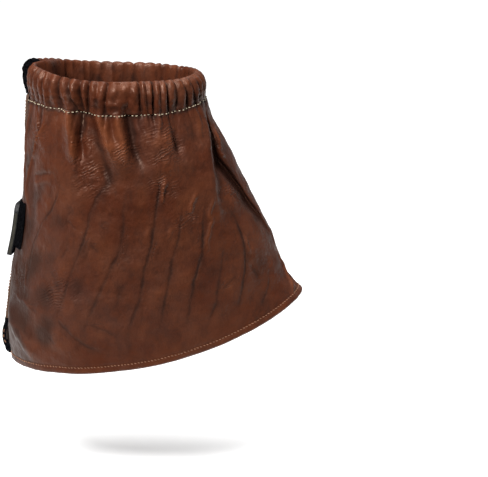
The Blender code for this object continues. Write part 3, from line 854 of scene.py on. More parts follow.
def spots(table, turn, drop):
    """The soft spots of a table, added up. Its last column says how much each one gives in its middle."""
    return sum(
        amount * np.exp(-(((turn - spot_turn) / turn_reach) ** 2) - ((drop - spot_drop) / drop_reach) ** 2)
        for spot_turn, spot_drop, turn_reach, drop_reach, amount in table[1:]
    )


def side_of_line(places, x, y):
    """1 on one side of a line of places, -1 on its other side, and 0 level with no part of it."""
    ends = [flat_place(*place) for place in places]
    total = np.zeros(x.shape)
    for (x0, y0), (x1, y1) in zip(ends, ends[1:]):
        side = np.sign((x - x0) * (y1 - y0) - (y - y0) * (x1 - x0))
        total += np.where((y >= y0) & (y < y1), side, 0.0)
    return total


def vein_distance(turn, drop):
    """Millimetres to the nearest vein, with a sign for its side, and how strong that vein is there."""
    nearest, strength, side = (np.full(turn.shape, value) for value in (NO_VEIN, 0.0, 1.0))
    x, y = flat_place(turn, drop)
    for places, dark in all_veins():
        away, along = distance_to_line(places, turn, drop)
        sides = side_of_line(places, x, y)
        closer = away < nearest
        fade = eased(along / VEIN_END) * eased((1.0 - along) / VEIN_END)
        nearest = np.where(closer, away, nearest)
        side = np.where(closer, np.where(sides == 0.0, 1.0, sides), side)
        strength = np.where(closer, dark * fade * eased((VEIN_REACH - away) / VEIN_FADE), strength)
    return np.clip(nearest, 0.0, VEIN_REACH) * side, strength


def leather_relief(turn, drop, sizes):
    """The panel's small folds in millimetres, its rubbed wear with painted light and shade, and how wrinkled
    it is, from 0 to 1.
    """
    x, y = flat_place(turn, drop)
    bent_turn = turn + uneven("crease_bend_round", x, y) / GIRTH_PER_TURN
    bent_drop = drop + uneven("crease_bend_down", x, y) / PANEL_HEIGHT
    out = uneven("swells", x, y) + uneven("dents", x, y) - np.abs(uneven("crumples", x, y))
    crests = np.zeros(x.shape)
    for places, height, spread in CREASES[1:]:
        nearest, along = distance_to_line(places, bent_turn, bent_drop)
        near = crease_strength(nearest, along, spread)
        out += CREASE_HEIGHT * height * near
        crests += max(height, 0.0) * near
    wrinkled = np.zeros(x.shape)
    for spot_turn, spot_drop, reach, lean, height in WRINKLE_PATCHES[1:]:
        spot_x, spot_y = flat_place(spot_turn, spot_drop)
        near = np.exp(-(((x - spot_x) ** 2 + (y - spot_y) ** 2) / reach**2))
        across = (x - spot_x) * math.cos(math.radians(lean)) + (y - spot_y) * math.sin(math.radians(lean))
        seed = int(abs(spot_turn)) + WRINKLE_FIRST_SEED
        bends = WRINKLE_BEND * ripple(x, y, WRINKLE_BEND_LENGTH, seed)
        troughs = np.abs(np.sin(math.pi * (across / WRINKLE_SPACING + bends)))
        out += WRINKLE_HEIGHT * height * near * (1.0 - 2.0 * troughs)
        wrinkled = np.maximum(wrinkled, near)
    below = drop * PANEL_HEIGHT
    fading = np.exp(-below / (GATHERS_BELOW_FADE + uneven("gather_fade", x, 0.0 * y)))
    gathered = (gather_profile(turn, np.zeros_like(turn)) + GATHERS_BELOW_MIDDLE) * fading
    pinch = SEAM_PINCH * bell(below, SEAM_PINCH_SPREAD)
    out += sizes.gather_depth / MM * GATHERS_BELOW * gathered - pinch
    above_hem = (1.0 - drop) * PANEL_HEIGHT
    seam = sizes.hem_turn_height / MM
    raised = eased((seam + HEM_RAISED_OVER_SEAM - above_hem) / HEM_RAISED_EASE)
    out -= HEM_LINE * bell(above_hem - seam, HEM_LINE_SPREAD)
    out += HEM_RAISED * raised - HEM_ROUND * eased(1.0 - above_hem / HEM_ROUND_REACH)
    # Painted light and shade, with some wear: raised relief and crease crests are painted lighter, and sunk
    # relief darker.
    rub = PANEL_WEAR_AND_PAINTED_LIGHT["plain"] + PANEL_WEAR_AND_PAINTED_LIGHT["relief"] * out + PANEL_WEAR_AND_PAINTED_LIGHT["crests"] * crests
    rub += uneven("panel_rub", x, y)
    # Raised folds are painted lighter and sunk ones darker, and the deep front valley gets painted shade.
    rub += PANEL_WEAR_AND_PAINTED_LIGHT["folds"] * folds(turn, drop) + PANEL_WEAR_AND_PAINTED_LIGHT["valleys"] * np.abs(sideways(turn, drop))
    # Painted shade on the lower back, the back edges and the front facet, and small lighter and darker
    # patches.
    rub += spots(TONES_AND_PAINTED_SHADE, turn, drop)
    # The raised hem is painted lighter, with rubbed wear and painted sheen, and a strip under the casing seam
    # gets painted shade.
    rub += PANEL_WEAR_AND_PAINTED_LIGHT["hem"] * raised + PANEL_WEAR_AND_PAINTED_LIGHT["seam"] * bell(below - SEAM_SHADE_BELOW, SEAM_SHADE_SPREAD)
    return out, np.clip(rub, 0.0, 1.0), wrinkled


def new_mesh(name, points, faces, materials, face_materials=None, sharp=80.0):
    """A shaded object of those points and faces. Edges are sharp from that angle on, in degrees."""
    mesh = bpy.data.meshes.new(name)
    mesh.from_pydata(np.asarray(points).reshape(-1, 3).tolist(), [], faces)
    for material in materials:
        mesh.materials.append(material)
    if face_materials is not None:
        mesh.polygons.foreach_set("material_index", np.asarray(face_materials, dtype=np.int32))
    mesh.shade_smooth()
    mesh.set_sharp_from_angle(angle=math.radians(sharp))
    thing = bpy.data.objects.new(name, mesh)
    bpy.context.scene.collection.objects.link(thing)
    return thing


def grid_faces(rows, columns, first=0):
    """Faces of a grid of points, with outward normals where turns fall and drops rise."""
    row, column = np.meshgrid(np.arange(rows - 1), np.arange(columns - 1), indexing="ij")
    corner = first + row * columns + column
    return np.stack([corner, corner + columns, corner + columns + 1, corner + 1], axis=-1).reshape(-1, 4)


def rim_faces(outer, inner, every):
    """Faces from an edge of the outer grid to the same edge of the inner grid, both as lists of points."""
    return [
        [*outer[every * k : every * (k + 1) + 1], inner[k + 1], inner[k]] for k in range(len(inner) - 1)
    ]


def thinned(grids, every):
    """Each of the grids with one in so many of its rows and columns."""
    return [grid[::every, ::every] for grid in grids]


def add_shell(name, outer, inner, materials, every=1, sharp=55.0):
    """A sheet between a fine outer grid and an inner grid, which has one in so many of its points.

    The last material is the inner face's and the rims'."""
    rows, columns = outer.shape[:2]
    inner_rows, inner_columns = inner.shape[:2]
    first = rows * columns
    fine = np.arange(first).reshape(rows, columns)
    coarse = first + np.arange(inner_rows * inner_columns).reshape(inner_rows, inner_columns)
    outside = grid_faces(rows, columns).tolist()
    inside = grid_faces(inner_rows, inner_columns, first)[:, ::-1].tolist()
    rims = rim_faces(fine[0], coarse[0], every)
    rims += rim_faces(fine[-1, ::-1], coarse[-1, ::-1], every)
    rims += rim_faces(fine[::-1, 0], coarse[::-1, 0], every)
    rims += rim_faces(fine[:, -1], coarse[:, -1], every)
    rims = [[int(point) for point in face] for face in rims]
    points = np.concatenate([outer.reshape(-1, 3), inner.reshape(-1, 3)])
    kinds = [0] * len(outside) + [len(materials) - 1] * (len(inside) + len(rims))
    return new_mesh(name, points, outside + inside + rims, materials, kinds, sharp)


def paint(thing, name, values):
    """Keeps a value for each of the first points of a mesh, and 0 for the rest, for its material."""
    layer = thing.data.attributes.new(name, "FLOAT", "POINT")
    kept = np.zeros(len(thing.data.vertices), np.float32)
    kept[: values.size] = values.reshape(-1)
    layer.data.foreach_set("value", kept)


def tube_faces(first, rings, sides):
    """Faces of a closed tube of rings of points."""
    faces = []
    for ring in range(rings - 1):
        for side in range(sides):
            a, b = first + ring * sides + side, first + ring * sides + (side + 1) % sides
            faces.append([a, b, b + sides, a + sides])
    faces.append([first + side for side in reversed(range(sides))])
    faces.append([first + (rings - 1) * sides + side for side in range(sides)])
    return faces


def add_stitches(name, places, outs, length, radius, material, shown, slant=0.0):
    """Stitches from evenly spaced points along a line, each a bowed piece of thread with sunk ends.

    Of each length, the share that is shown lies on top. A slant turns each stitch by so many degrees."""
    steps = np.linalg.norm(np.diff(places, axis=0), axis=1)
    starts = np.concatenate([[0.0], np.cumsum(steps)])
    count = max(2, int(starts[-1] / length))
    rng = np.random.default_rng(count)
    moved = rng.uniform(-STITCH_SHIFT, STITCH_SHIFT, count)
    centres = (np.arange(count) + 0.5 + moved) * starts[-1] / count
    shares = np.array([-1.0, -0.8, -0.35, 0.35, 0.8, 1.0])
    thick = np.array([0.45, 0.9, 1.0, 1.0, 0.9, 0.45]) * radius
    rise = 0.5 * radius * (1.0 - 2.2 * shares**4)
    sides = np.radians(np.arange(0, 360, 45))
    reaches = 0.5 * shown * length * rng.uniform(*STITCH_LENGTHS, count)
    points, faces = [], []
    for centre, reach in zip(centres, reaches):
        along_line = centre + shares * reach
        at = np.stack([np.interp(along_line, starts, places[:, axis]) for axis in range(3)], axis=-1)
        up = np.array([np.interp(centre, starts, outs[:, axis]) for axis in range(3)])
        along = at[-1] - at[0]
        along /= np.linalg.norm(along)
        up = up - along * up.dot(along)
        up /= np.linalg.norm(up)
        side = np.cross(along, up)
        first = len(points) * len(sides)
        for ring in range(len(shares)):
            middle = at[ring] + up * rise[ring] + side * shares[ring] * reach * math.tan(math.radians(slant))
            around = np.cos(sides)[:, None] * side + np.sin(sides)[:, None] * up
            points.append(middle + thick[ring] * around)
        faces += tube_faces(first, len(shares), len(sides))
    return new_mesh(name, np.concatenate(points), faces, [material])


def add_pile(name, places, outs, alongs, material):
    """Bent bristles, one at each place: a tape's loops or hooks, rooted in its base."""
    sides = np.radians([90.0, 210.0, 330.0])
    rises = np.array([-0.15, 0.35, 0.75, 1.0, 0.92])
    leans = np.array([0.0, 0.02, 0.25, 0.65, 1.0])
    points, faces = [], []
    heights = (TAPE - TAPE_BASE) * np.random.default_rng(len(places)).uniform(*BRISTLE_HEIGHTS, len(places))
    for place, out, along, tall in zip(places, outs, alongs, heights):
        side = np.cross(along, out)
        first = len(points) * len(sides)
        for rise, lean in zip(rises, leans):
            middle = place + out * tall * rise + along * BRISTLE_BEND * lean
            around = np.cos(sides)[:, None] * side + np.sin(sides)[:, None] * along
            points.append(middle + BRISTLE * around)
        faces += tube_faces(first, len(rises), len(sides))
    return new_mesh(name, np.concatenate(points), faces, [material])


def set_inputs(tree, made, inputs):
    """Gives a node its inputs. Each is a value, or another node's output to link."""
    for key, value in inputs.items():
        if isinstance(value, bpy.types.NodeSocket):
            tree.links.new(value, made.inputs[key])
        else:
            made.inputs[key].default_value = value


def node(tree, kind, inputs=None, **settings):
    """A node of that kind, with its settings and inputs."""
    made = tree.nodes.new(kind)
    for key, value in settings.items():
        setattr(made, key, value)
    set_inputs(tree, made, inputs or {})
    return made


def blank_material(name):
    """A material with its Principled shader, and the object's coordinates in millimetres."""
    material = bpy.data.materials.new(name)
    material.use_nodes = True
    tree = material.node_tree
    shader = tree.nodes["Principled BSDF"]
    place = node(tree, "ShaderNodeTexCoord").outputs["Object"]
    scaled = node(tree, "ShaderNodeVectorMath", {0: place, 1: (1000.0, 1000.0, 1000.0)}, operation="MULTIPLY")
    return material, tree, shader, scaled.outputs[0]


def worked(tree, operation, *values):
    """The result of a math node on one or two values."""
    return node(tree, "ShaderNodeMath", dict(enumerate(values)), operation=operation).outputs[0]


def product(tree, first, second):
    """One value times another."""
    return worked(tree, "MULTIPLY", first, second)


def noise(tree, place, wavelength, detail=3.0, roughness=0.55, stretch=(1.0, 1.0, 1.0)):
    """Noise from 0 to 1 with spots of about that many millimetres, stretched along each axis."""
    scale = [1.0 / (wavelength * share) for share in stretch]
    moved = node(tree, "ShaderNodeVectorMath", {0: place, 1: scale}, operation="MULTIPLY").outputs[0]
    inputs = {"Vector": moved, "Scale": 1.0, "Detail": detail, "Roughness": roughness}
    return node(tree, "ShaderNodeTexNoise", inputs).outputs["Fac"]


def sloped(tree, value, low, high, start=0.0, end=1.0):
    """A value brought from one range to another, and held inside it."""
    inputs = {"Value": value, "From Min": low, "From Max": high, "To Min": start, "To Max": end}
    return node(tree, "ShaderNodeMapRange", inputs).outputs["Result"]


def tinted(tree, share, first, second):
    """The first colour, or the second where share is 1."""
    colours = [part if isinstance(part, bpy.types.NodeSocket) else (*part, 1.0) for part in (first, second)]
    inputs = {0: share, 6: colours[0], 7: colours[1]}
    return node(tree, "ShaderNodeMix", inputs, data_type="RGBA").outputs[2]


def bumped(tree, height, strength, distance, under=None):
    """The normal over bumps that are so many millimetres high, on top of those under them."""
    inputs = {"Height": height, "Strength": strength, "Distance": distance * MM}
    if under is not None:
        inputs["Normal"] = under
    return node(tree, "ShaderNodeBump", inputs).outputs["Normal"]


def painted(tree, name):
    """The value that paint keeps under that name."""
    return node(tree, "ShaderNodeAttribute", attribute_name=name).outputs["Fac"]


def vein_marks(tree, place):
    """How dark the veins are, as thin cores and as the wide stains round them."""
    wobble = sloped(tree, noise(tree, place, wavelength=7.0), low=0.25, high=0.75, start=-0.6, end=0.6)
    away = worked(tree, "ABSOLUTE", worked(tree, "ADD", painted(tree, "vein"), wobble))
    faint = sloped(tree, noise(tree, place, wavelength=11.0, detail=2.0), low=0.3, high=0.6, start=0.45)
    strength = product(tree, painted(tree, "vein_strength"), faint)
    core = product(tree, sloped(tree, away, low=0.15, high=1.3, start=1.0, end=0.0), strength)
    stain = product(tree, sloped(tree, away, low=0.3, high=3.6, start=0.36, end=0.0), strength)
    return core, stain


def hide_colour(tree, place, colours, vein_core, vein_stain):
    """Mottled leather with stains, a dusty bloom that also paints sheen, crests that are rubbed and painted
    with highlight, painted shade in the hollows, and veins.
    """
    mottle = sloped(tree, noise(tree, place, wavelength=30.0, detail=4.0), low=0.35, high=0.68)
    colour = tinted(tree, mottle, colours.leather_deep, colours.leather)
    streaks = noise(tree, place, wavelength=7.0, detail=7.0, roughness=0.75, stretch=(1.0, 1.0, 1.6))
    stained = product(tree, sloped(tree, streaks, low=0.46, high=0.66), 0.46)
    colour = tinted(tree, stained, colour, colours.leather_vein_and_shade)
    # Dusty bloom, which also paints the grey sheen at the back edges and over the lower back.
    dust_and_sheen = sloped(tree, noise(tree, place, wavelength=14.0, detail=7.0, roughness=0.7), low=0.34, high=0.58)
    colour = tinted(tree, product(tree, dust_and_sheen, painted(tree, "bloom")), colour, colours.leather_bloom_and_sheen)
    worn = sloped(tree, noise(tree, place, wavelength=5.0, detail=4.0), low=0.35, high=0.65, start=0.5)
    # Painted highlight with wear: where the painted value is high, on crests, raised places and the casing's
    # top, the colour goes to the lighter rubbed one.
    crests = product(tree, sloped(tree, painted(tree, "rub"), low=0.40, high=1.0), worn)
    colour = tinted(tree, crests, colour, colours.leather_rubbed_and_lit)
    # Painted shade: where the painted value is low, in hollows, valleys and under the seam, the colour goes
    # to the dark vein colour.
    hollow_shade = sloped(tree, painted(tree, "rub"), low=0.0, high=0.28, start=0.80, end=0.0)
    colour = tinted(tree, hollow_shade, colour, colours.leather_vein_and_shade)
    veins = worked(tree, "ADD", product(tree, vein_core, 0.60), vein_stain)
    return tinted(tree, veins, colour, colours.leather_vein_and_shade)


def hide_bumps(tree, place, vein_core):
    """The leather's fine relief: creases, crinkles where it is wrinkled, sunk veins and pores."""
    creases = noise(tree, place, wavelength=4.5, detail=3.5, roughness=0.6, stretch=(1.0, 1.0, 1.7))
    creased = worked(tree, "ABSOLUTE", worked(tree, "SUBTRACT", creases, 0.5))
    normal = bumped(tree, creased, strength=0.55, distance=1.4)
    leaning = node(tree, "ShaderNodeVectorMath", {0: place, 1: (-0.45, 0.1, 1.0)}, operation="DOT_PRODUCT")
    bend = sloped(tree, noise(tree, place, wavelength=9.0, detail=2.0), low=0.0, high=1.0, end=8.0)
    wave = product(tree, worked(tree, "ADD", leaning.outputs["Value"], bend), 1.5)
    crinkle = worked(tree, "POWER", worked(tree, "ABSOLUTE", worked(tree, "SINE", wave)), 0.6)
    broken = sloped(tree, noise(tree, place, wavelength=8.0, detail=2.0), low=0.38, high=0.6)
    mask = sloped(tree, painted(tree, "wrinkled"), low=0.05, high=0.9, start=0.06)
    normal = bumped(tree, product(tree, crinkle, product(tree, broken, mask)), 0.7, -0.5, normal)
    normal = bumped(tree, vein_core, 0.8, -0.35, normal)
    return bumped(tree, noise(tree, place, wavelength=2.2, roughness=0.65), 0.40, 0.40, normal)


def grain_leather(name, colours, sizes):
    """Crumpled, half shiny leather with dark veins, crests that are rubbed and painted with highlight, and
    painted shade in its hollows.
    """
    material, tree, shader, place = blank_material(name)
    vein_core, vein_stain = vein_marks(tree, place)
    patchy = noise(tree, place, wavelength=5.0, detail=5.0)
    rough = sloped(tree, patchy, low=0.30, high=0.70, start=sizes.shine - 0.07, end=sizes.shine + 0.11)
    inputs = {
        "Base Color": hide_colour(tree, place, colours, vein_core, vein_stain),
        "Roughness": worked(tree, "ADD", rough, product(tree, painted(tree, "bloom"), 0.24)),
        "Specular IOR Level": 0.32,
        "Specular Tint": (1.0, 0.70, 0.55, 1.0),
        "Normal": hide_bumps(tree, place, vein_core),
    }
    set_inputs(tree, shader, inputs)
    return material


def flesh_leather(name, colours):
    """The napped back of the leather, and its cut edges."""
    material, tree, shader, place = blank_material(name)
    patchy = sloped(tree, noise(tree, place, wavelength=3.0, detail=6.0), low=0.3, high=0.7)
    nap = noise(tree, place, wavelength=0.5, detail=5.0, roughness=0.7)
    inputs = {
        "Base Color": tinted(tree, patchy, colours.flesh_dark, colours.flesh),
        "Roughness": 0.92,
        "Specular IOR Level": 0.2,
        "Sheen Weight": 0.25,
        "Normal": bumped(tree, nap, strength=0.6, distance=0.3),
    }
    set_inputs(tree, shader, inputs)
    return material


def tab_finish(name, colours):
    """Dull coated leather in olive grey, with scuffs and dark cut edges."""
    material, tree, shader, place = blank_material(name)
    scuffs = sloped(tree, noise(tree, place, wavelength=9.0, detail=6.0, roughness=0.6), low=0.38, high=0.80)
    colour = tinted(tree, scuffs, colours.tab, colours.tab_worn)
    edges = sloped(tree, painted(tree, "rim"), low=0.5, high=1.1, start=0.9, end=0.0)
    patchy = noise(tree, place, wavelength=2.0, detail=4.0)
    inputs = {
        "Base Color": tinted(tree, edges, colour, colours.tape),
        "Roughness": sloped(tree, patchy, low=0.3, high=0.7, start=0.42, end=0.62),
        "Specular IOR Level": 0.3,
        "Normal": bumped(tree, noise(tree, place, wavelength=0.8, detail=4.0), strength=0.35, distance=0.25),
    }
    set_inputs(tree, shader, inputs)
    return material


def tape_finish(name, colour):
    """Matt woven tape with a fine rib."""
    material, tree, shader, place = blank_material(name)
    darker = tuple(0.12 * part for part in colour)
    patchy = sloped(tree, noise(tree, place, wavelength=1.2, detail=4.0), low=0.30, high=0.65)
    inputs = {
        "Base Color": tinted(tree, patchy, colour, darker),
        "Roughness": 0.85,
        "Specular IOR Level": 0.0,
        "Normal": bumped(tree, noise(tree, place, wavelength=0.45, detail=2.0), strength=0.5, distance=0.25),
    }
    set_inputs(tree, shader, inputs)
    return material


def thread_finish(name, colour, dark):
    """Waxed twisted thread. Its dark places have that share of its colour."""
    material, tree, shader, place = blank_material(name)
    darker = tuple(dark * part for part in colour)
    patchy = sloped(tree, noise(tree, place, wavelength=1.6), low=0.3, high=0.7)
    wave = {"Vector": place, "Scale": 0.55, "Distortion": 1.5}
    twist = node(tree, "ShaderNodeTexWave", wave, bands_direction="DIAGONAL").outputs["Fac"]
    inputs = {
        "Base Color": tinted(tree, patchy, darker, colour),
        "Roughness": 0.5,
        "Normal": bumped(tree, twist, strength=0.6, distance=0.15),
    }
    set_inputs(tree, shader, inputs)
    return material


def made_once(name, maker, *values):
    """The material of that name, made where it isn't there yet."""
    return bpy.data.materials.get(name) or maker(name, *values)


def hide_finishes(colours, sizes):
    """The leather's outer finish and the one of its back."""
    leather = made_once("grain_leather", grain_leather, colours, sizes)
    return [leather, made_once("flesh_leather", flesh_leather, colours)]


def settle(thing, slot, *nodes):
    """The piece rides on the frame and stands for those nodes. Its slot is not used."""
    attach(thing, BODY)
    if nodes:
        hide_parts(*nodes)


def panel_grid():
    """The turns and drops of the panel's fine grid."""
    columns, rows = PANEL_COLUMNS[-1][0], PANEL_ROWS[-1][0]
    turns = column_values(PANEL_COLUMNS, "turn")
    turn = np.interp(np.arange(columns + 1), column_values(PANEL_COLUMNS, "column"), turns)
    drop = np.interp(np.arange(rows + 1), *zip(*PANEL_ROWS))
    return np.meshgrid(turn, drop)


def skin_line(turn, drop, sizes, lift):
    """Points along a line on the panel's fine face, lifted, and the ways out of it there."""
    out, _, _ = leather_relief(turn, drop, sizes)
    ways = outward(panel_point, turn, drop)
    return panel_point(turn, drop, out) + lift * ways, ways


def panel_thickness(drop, sizes):
    """How thick the leather is. Where the hem is turned up, it is more."""
    double = (sizes.hem_turn_height / MM + HEM_DOUBLE_OVER_SEAM) / PANEL_HEIGHT
    return np.where(drop > 1.0 - double, sizes.turned_hem, sizes.leather)


def casing_point(turn, out, up):
    """A point of the casing: out from the smooth panel's top edge, and up as a share of its height."""
    seam = np.zeros_like(turn)
    normal = outward(smooth_point, turn, seam)
    normal[..., 2] = 0.0
    normal = normal / np.linalg.norm(normal, axis=-1, keepdims=True)
    leaning = CASING_LEAN * up * (1.0 + np.cos(np.radians(turn)))
    out = out + (lap_step(turn, seam) + folds(turn, seam) * np.clip(1.0 - up, 0.0, 1.0)) * MM - leaning
    point = smooth_point(turn, seam) + normal * out[..., None]
    seam_z, top = casing_height(turn, "seam"), casing_height(turn, "top")
    point[..., 2] = seam_z + up * (top - seam_z)
    return point


def gathered_face(turn, way, sizes):
    """Out and up of the gathered leather along its way over the casing, and its painted light and shade:
    painted highlight on its top and crests, and painted shade in its valleys.
    """
    up = read(CASING_WAY, "up", way)
    share = read(CASING_WAY, "gather", way)
    x, y = turn * GIRTH_PER_TURN, way * CASING_STRIP
    bent_turn = turn + uneven("gather_bend", x, y) / GIRTH_PER_TURN
    profile = gather_profile(bent_turn, np.clip(up, 0.0, 1.0))
    fine = uneven("casing_dents", x, y) + uneven("casing_crumples", x, y)
    fine = fine + slackness(turn) * uneven("slack_dents", x, y)
    pinch = -CASING_PINCH * bell(way, CASING_PINCH_SPREAD)
    out = read(CASING_WAY, "out", way) * MM + sizes.gather_depth * share * profile
    out = out + (fine * share + pinch) * MM
    up = up + CREST_RISE * (profile + CREST_MIDDLE) * bell(way - CASING_CREST, CREST_SPREAD)
    # Painted light: the top is painted lighter, the gathers' crests get painted highlight and their valleys
    # get painted shade.
    rub = CASING_WEAR_AND_PAINTED_LIGHT["plain"] + CASING_WEAR_AND_PAINTED_LIGHT["height"] * np.clip(up, 0.0, 1.0)
    rub = rub + CASING_WEAR_AND_PAINTED_LIGHT["gathers"] * (profile + CASING_WEAR_AND_PAINTED_LIGHT_MIDDLE) * share + uneven("casing_rub", x, y)
    return out, up, np.clip(rub, 0.0, 1.0)


def casing_skin(turn, way, sizes, lift):
    """Points at a distance over the gathered leather, along its way over the casing, and its painted light
    and shade.
    """
    out, up, rub = gathered_face(turn, way, sizes)
    facing = np.clip((CASING_CREST - way) / CASING_TURNING, -1.0, 1.0)
    over = np.maximum(0.0, 1.0 - np.abs(CASING_CREST - way) / CASING_TURNING)
    height = casing_height(turn, "top") - casing_height(turn, "seam")
    return casing_point(turn, out + lift * facing, up + lift * over / height), rub


def tab_lift(turn, drop):
    """How far the tab's inner side stands off the lap's face."""
    down = eased((drop - TAB_HEAD_DROP) / (TAB_FOOT_DROP - TAB_HEAD_DROP))
    reach = eased((TAB_LIFT_FROM_TURN - turn) / (TAB_LIFT_FROM_TURN - TAB_FREE_TURN))
    return CLEARANCE + reach * (TAB_HEAD_LIFT + down * (TAB_FOOT_LIFT - TAB_HEAD_LIFT))


def on_grid(grid, u, v, facing):
    """Points, outward ways and ways along on a grid of points, at shares across and down it."""
    rows, columns = grid.shape[:2]
    x, y = u * (columns - 1), v * (rows - 1)
    c, r = np.clip(x.astype(int), 0, columns - 2), np.clip(y.astype(int), 0, rows - 2)
    p, right, below = grid[r, c], grid[r, c + 1] - grid[r, c], grid[r + 1, c] - grid[r, c]
    point = p + right * (x - c)[:, None] + below * (y - r)[:, None]
    out = facing * np.cross(below, right)
    along = right / np.linalg.norm(right, axis=1, keepdims=True)
    return point, out / np.linalg.norm(out, axis=1, keepdims=True), along


def tape_face(surface, turns, drops, out):
    """The points of a tape's face, where surface gives a point for turn, drop and out."""
    turn, drop = np.meshgrid(np.linspace(*turns, TAPE_COLUMNS), np.linspace(*drops, TAPE_ROWS))
    return surface(turn, drop, np.full_like(turn, out))


def add_tape(node_name, surface, turns, drops, start, kind, sizes, colours):
    """A tape that stands for a node. Its base starts so far out from the surface.

    Loops face out of the leg, and hooks face in."""
    name, facing = "tape_" + node_name, 1 if kind == "loops" else -1
    outs = (start, start + facing * TAPE_BASE)
    outer, inner = (tape_face(surface, turns, drops, out) for out in (max(outs), min(outs)))
    finish = made_once("tape_" + kind, tape_finish, colours.tape)
    tape = add_shell(name, outer, inner, [finish])
    settle(tape, "tape", node_name)
    face = outer if facing > 0 else inner
    width = np.linalg.norm(np.diff(face[0], axis=0), axis=1).sum()
    height = np.linalg.norm(np.diff(face[:, 0], axis=0), axis=1).sum()
    rng = np.random.default_rng(len(name) + int(1000 * abs(turns[0])))
    across = np.arange(PILE_MARGIN, width - PILE_MARGIN, sizes.pile_step) / width
    down = np.arange(PILE_MARGIN, height - PILE_MARGIN, sizes.pile_step) / height
    u, v = (grid.reshape(-1) for grid in np.meshgrid(across, down))
    u = np.clip(u + rng.normal(0.0, PILE_SCATTER, len(u)) * sizes.pile_step / width, 0.0, 1.0)
    v = np.clip(v + rng.normal(0.0, PILE_SCATTER, len(v)) * sizes.pile_step / height, 0.0, 1.0)
    places, ways, alongs = on_grid(face, u, v, facing)
    most_spin = HOOK_SPIN if kind == "hooks" else math.pi
    spin = rng.uniform(-most_spin, most_spin, len(u))
    sides = np.cross(ways, alongs)
    alongs = np.cos(spin)[:, None] * alongs + np.sin(spin)[:, None] * sides
    pile = add_pile(name + "_" + kind, places, ways, alongs, finish)
    settle(pile, "tape")


def casing_tape_point(turn, up, out):
    """A point of a tape on the casing."""
    return casing_point(turn, out, up)


def tab_tape_point(turn, drop, out):
    """A point of the tape behind the tab's free end."""
    return above_panel(turn, drop, tab_lift(turn, drop) + out)


def heel_band_face(lift, sizes):
    """A face of the tape round the lap's end at the heel: over the outer face and over the cut."""
    angle = np.radians(np.linspace(*HEEL_BAND_ROUND_CUT, HEEL_BAND_HALF_COLUMNS))
    past = -lift / MM / GIRTH_PER_TURN * np.cos(angle)
    turns = LAP_EDGE_TURN + np.concatenate([np.linspace(*HEEL_BAND_TURNS, HEEL_BAND_HALF_COLUMNS), past])
    sides = np.concatenate([np.ones(HEEL_BAND_HALF_COLUMNS), np.sin(angle)])
    turn, drop = np.meshgrid(turns, np.linspace(*HEEL_BAND_DROPS, HEEL_BAND_ROWS))
    relief, _, _ = leather_relief(turn, drop, sizes)
    half = 0.5 * panel_thickness(drop + HEEL_BAND_HEM_SHIFT, sizes)
    return above_panel(turn, drop, relief * MM - half + (half + lift) * sides)


def casing_band_face(lift, beyond, sizes):
    """A face of the tape over the casing at the lap's end."""
    turns = np.linspace(LAP_EDGE_TURN + CASING_BAND_REACH, LAP_EDGE_TURN - beyond, CASING_BAND_COLUMNS)
    turn, way = np.meshgrid(turns, np.linspace(*CASING_BAND_WAYS, CASING_BAND_ROWS))
    points, _ = casing_skin(turn, way, sizes, lift)
    return points


def casing_cap_face(beyond, sizes):
    """A face of the tape across the casing's cut end, from its outer side to its inner one."""
    shares = np.linspace(0.0, 1.0, CASING_CAP_COLUMNS)
    share, way = np.meshgrid(shares, np.linspace(*CASING_CAP_WAYS, CASING_CAP_ROWS))
    turn = np.full_like(way, LAP_EDGE_TURN - beyond)
    outside, _ = casing_skin(turn, way, sizes, CASING_CAP_LIFT)
    inside, _ = casing_skin(turn, 2.0 * CASING_CAP_MIDDLE - way, sizes, CASING_CAP_LIFT)
    return outside + share[..., None] * (inside - outside)


def add_lamp(light, place):
    """A lamp at a place from the view's middle, turned to it."""
    lamp = bpy.data.objects.new(light.name, light)
    lamp.location = Vector(VIEW_MIDDLE) + Vector(place)
    lamp.rotation_euler = (-Vector(place)).to_track_quat("-Z", "Y").to_euler()
    bpy.context.scene.collection.objects.link(lamp)


def add_floor(colours):
    """The pale floor, which glows a little so that it is white in the picture."""
    material, tree, shader, _ = blank_material("pale_floor")
    inputs = {
        "Base Color": (*colours.floor, 1.0),
        "Roughness": 0.9,
        "Emission Color": WHITE,
        "Emission Strength": FLOOR_GLOW,
    }
    set_inputs(tree, shader, inputs)
    places = ((-1, FLOOR_NEAR), (1, FLOOR_NEAR), (1, FLOOR_FAR), (-1, FLOOR_FAR))
    corners = [(side * FLOOR_SIDE, y, FLOOR_Z) for side, y in places]
    return new_mesh("floor", corners, [[0, 1, 2, 3]], [material])


def add_camera():
    """The camera, as far away and looking down as much as the photograph's."""
    camera = bpy.data.objects.new("camera", bpy.data.cameras.new("camera"))
    pitch = math.radians(VIEW_PITCH)
    back = Vector((0.0, -math.cos(pitch), math.sin(pitch)))
    camera.location = Vector(VIEW_MIDDLE) + VIEW_DISTANCE * back
    camera.rotation_euler = (-back).to_track_quat("-Z", "Y").to_euler()
    camera.data.lens = camera.data.sensor_width * VIEW_DISTANCE / (VIEW_POINT * PICTURE_WIDTH)
    camera.data.clip_end = VIEW_END
    bpy.context.scene.collection.objects.link(camera)
    bpy.context.scene.camera = camera


def length_property(name, description, default):
    """A length that a user may change."""
    return FloatProperty(name=name, description=description, default=default, unit="LENGTH")


def colour_property(name, description, default):
    """A colour that a user may change."""
    return FloatVectorProperty(
        name=name, description=description, default=default, subtype="COLOR", min=0.0, max=1.0
    )


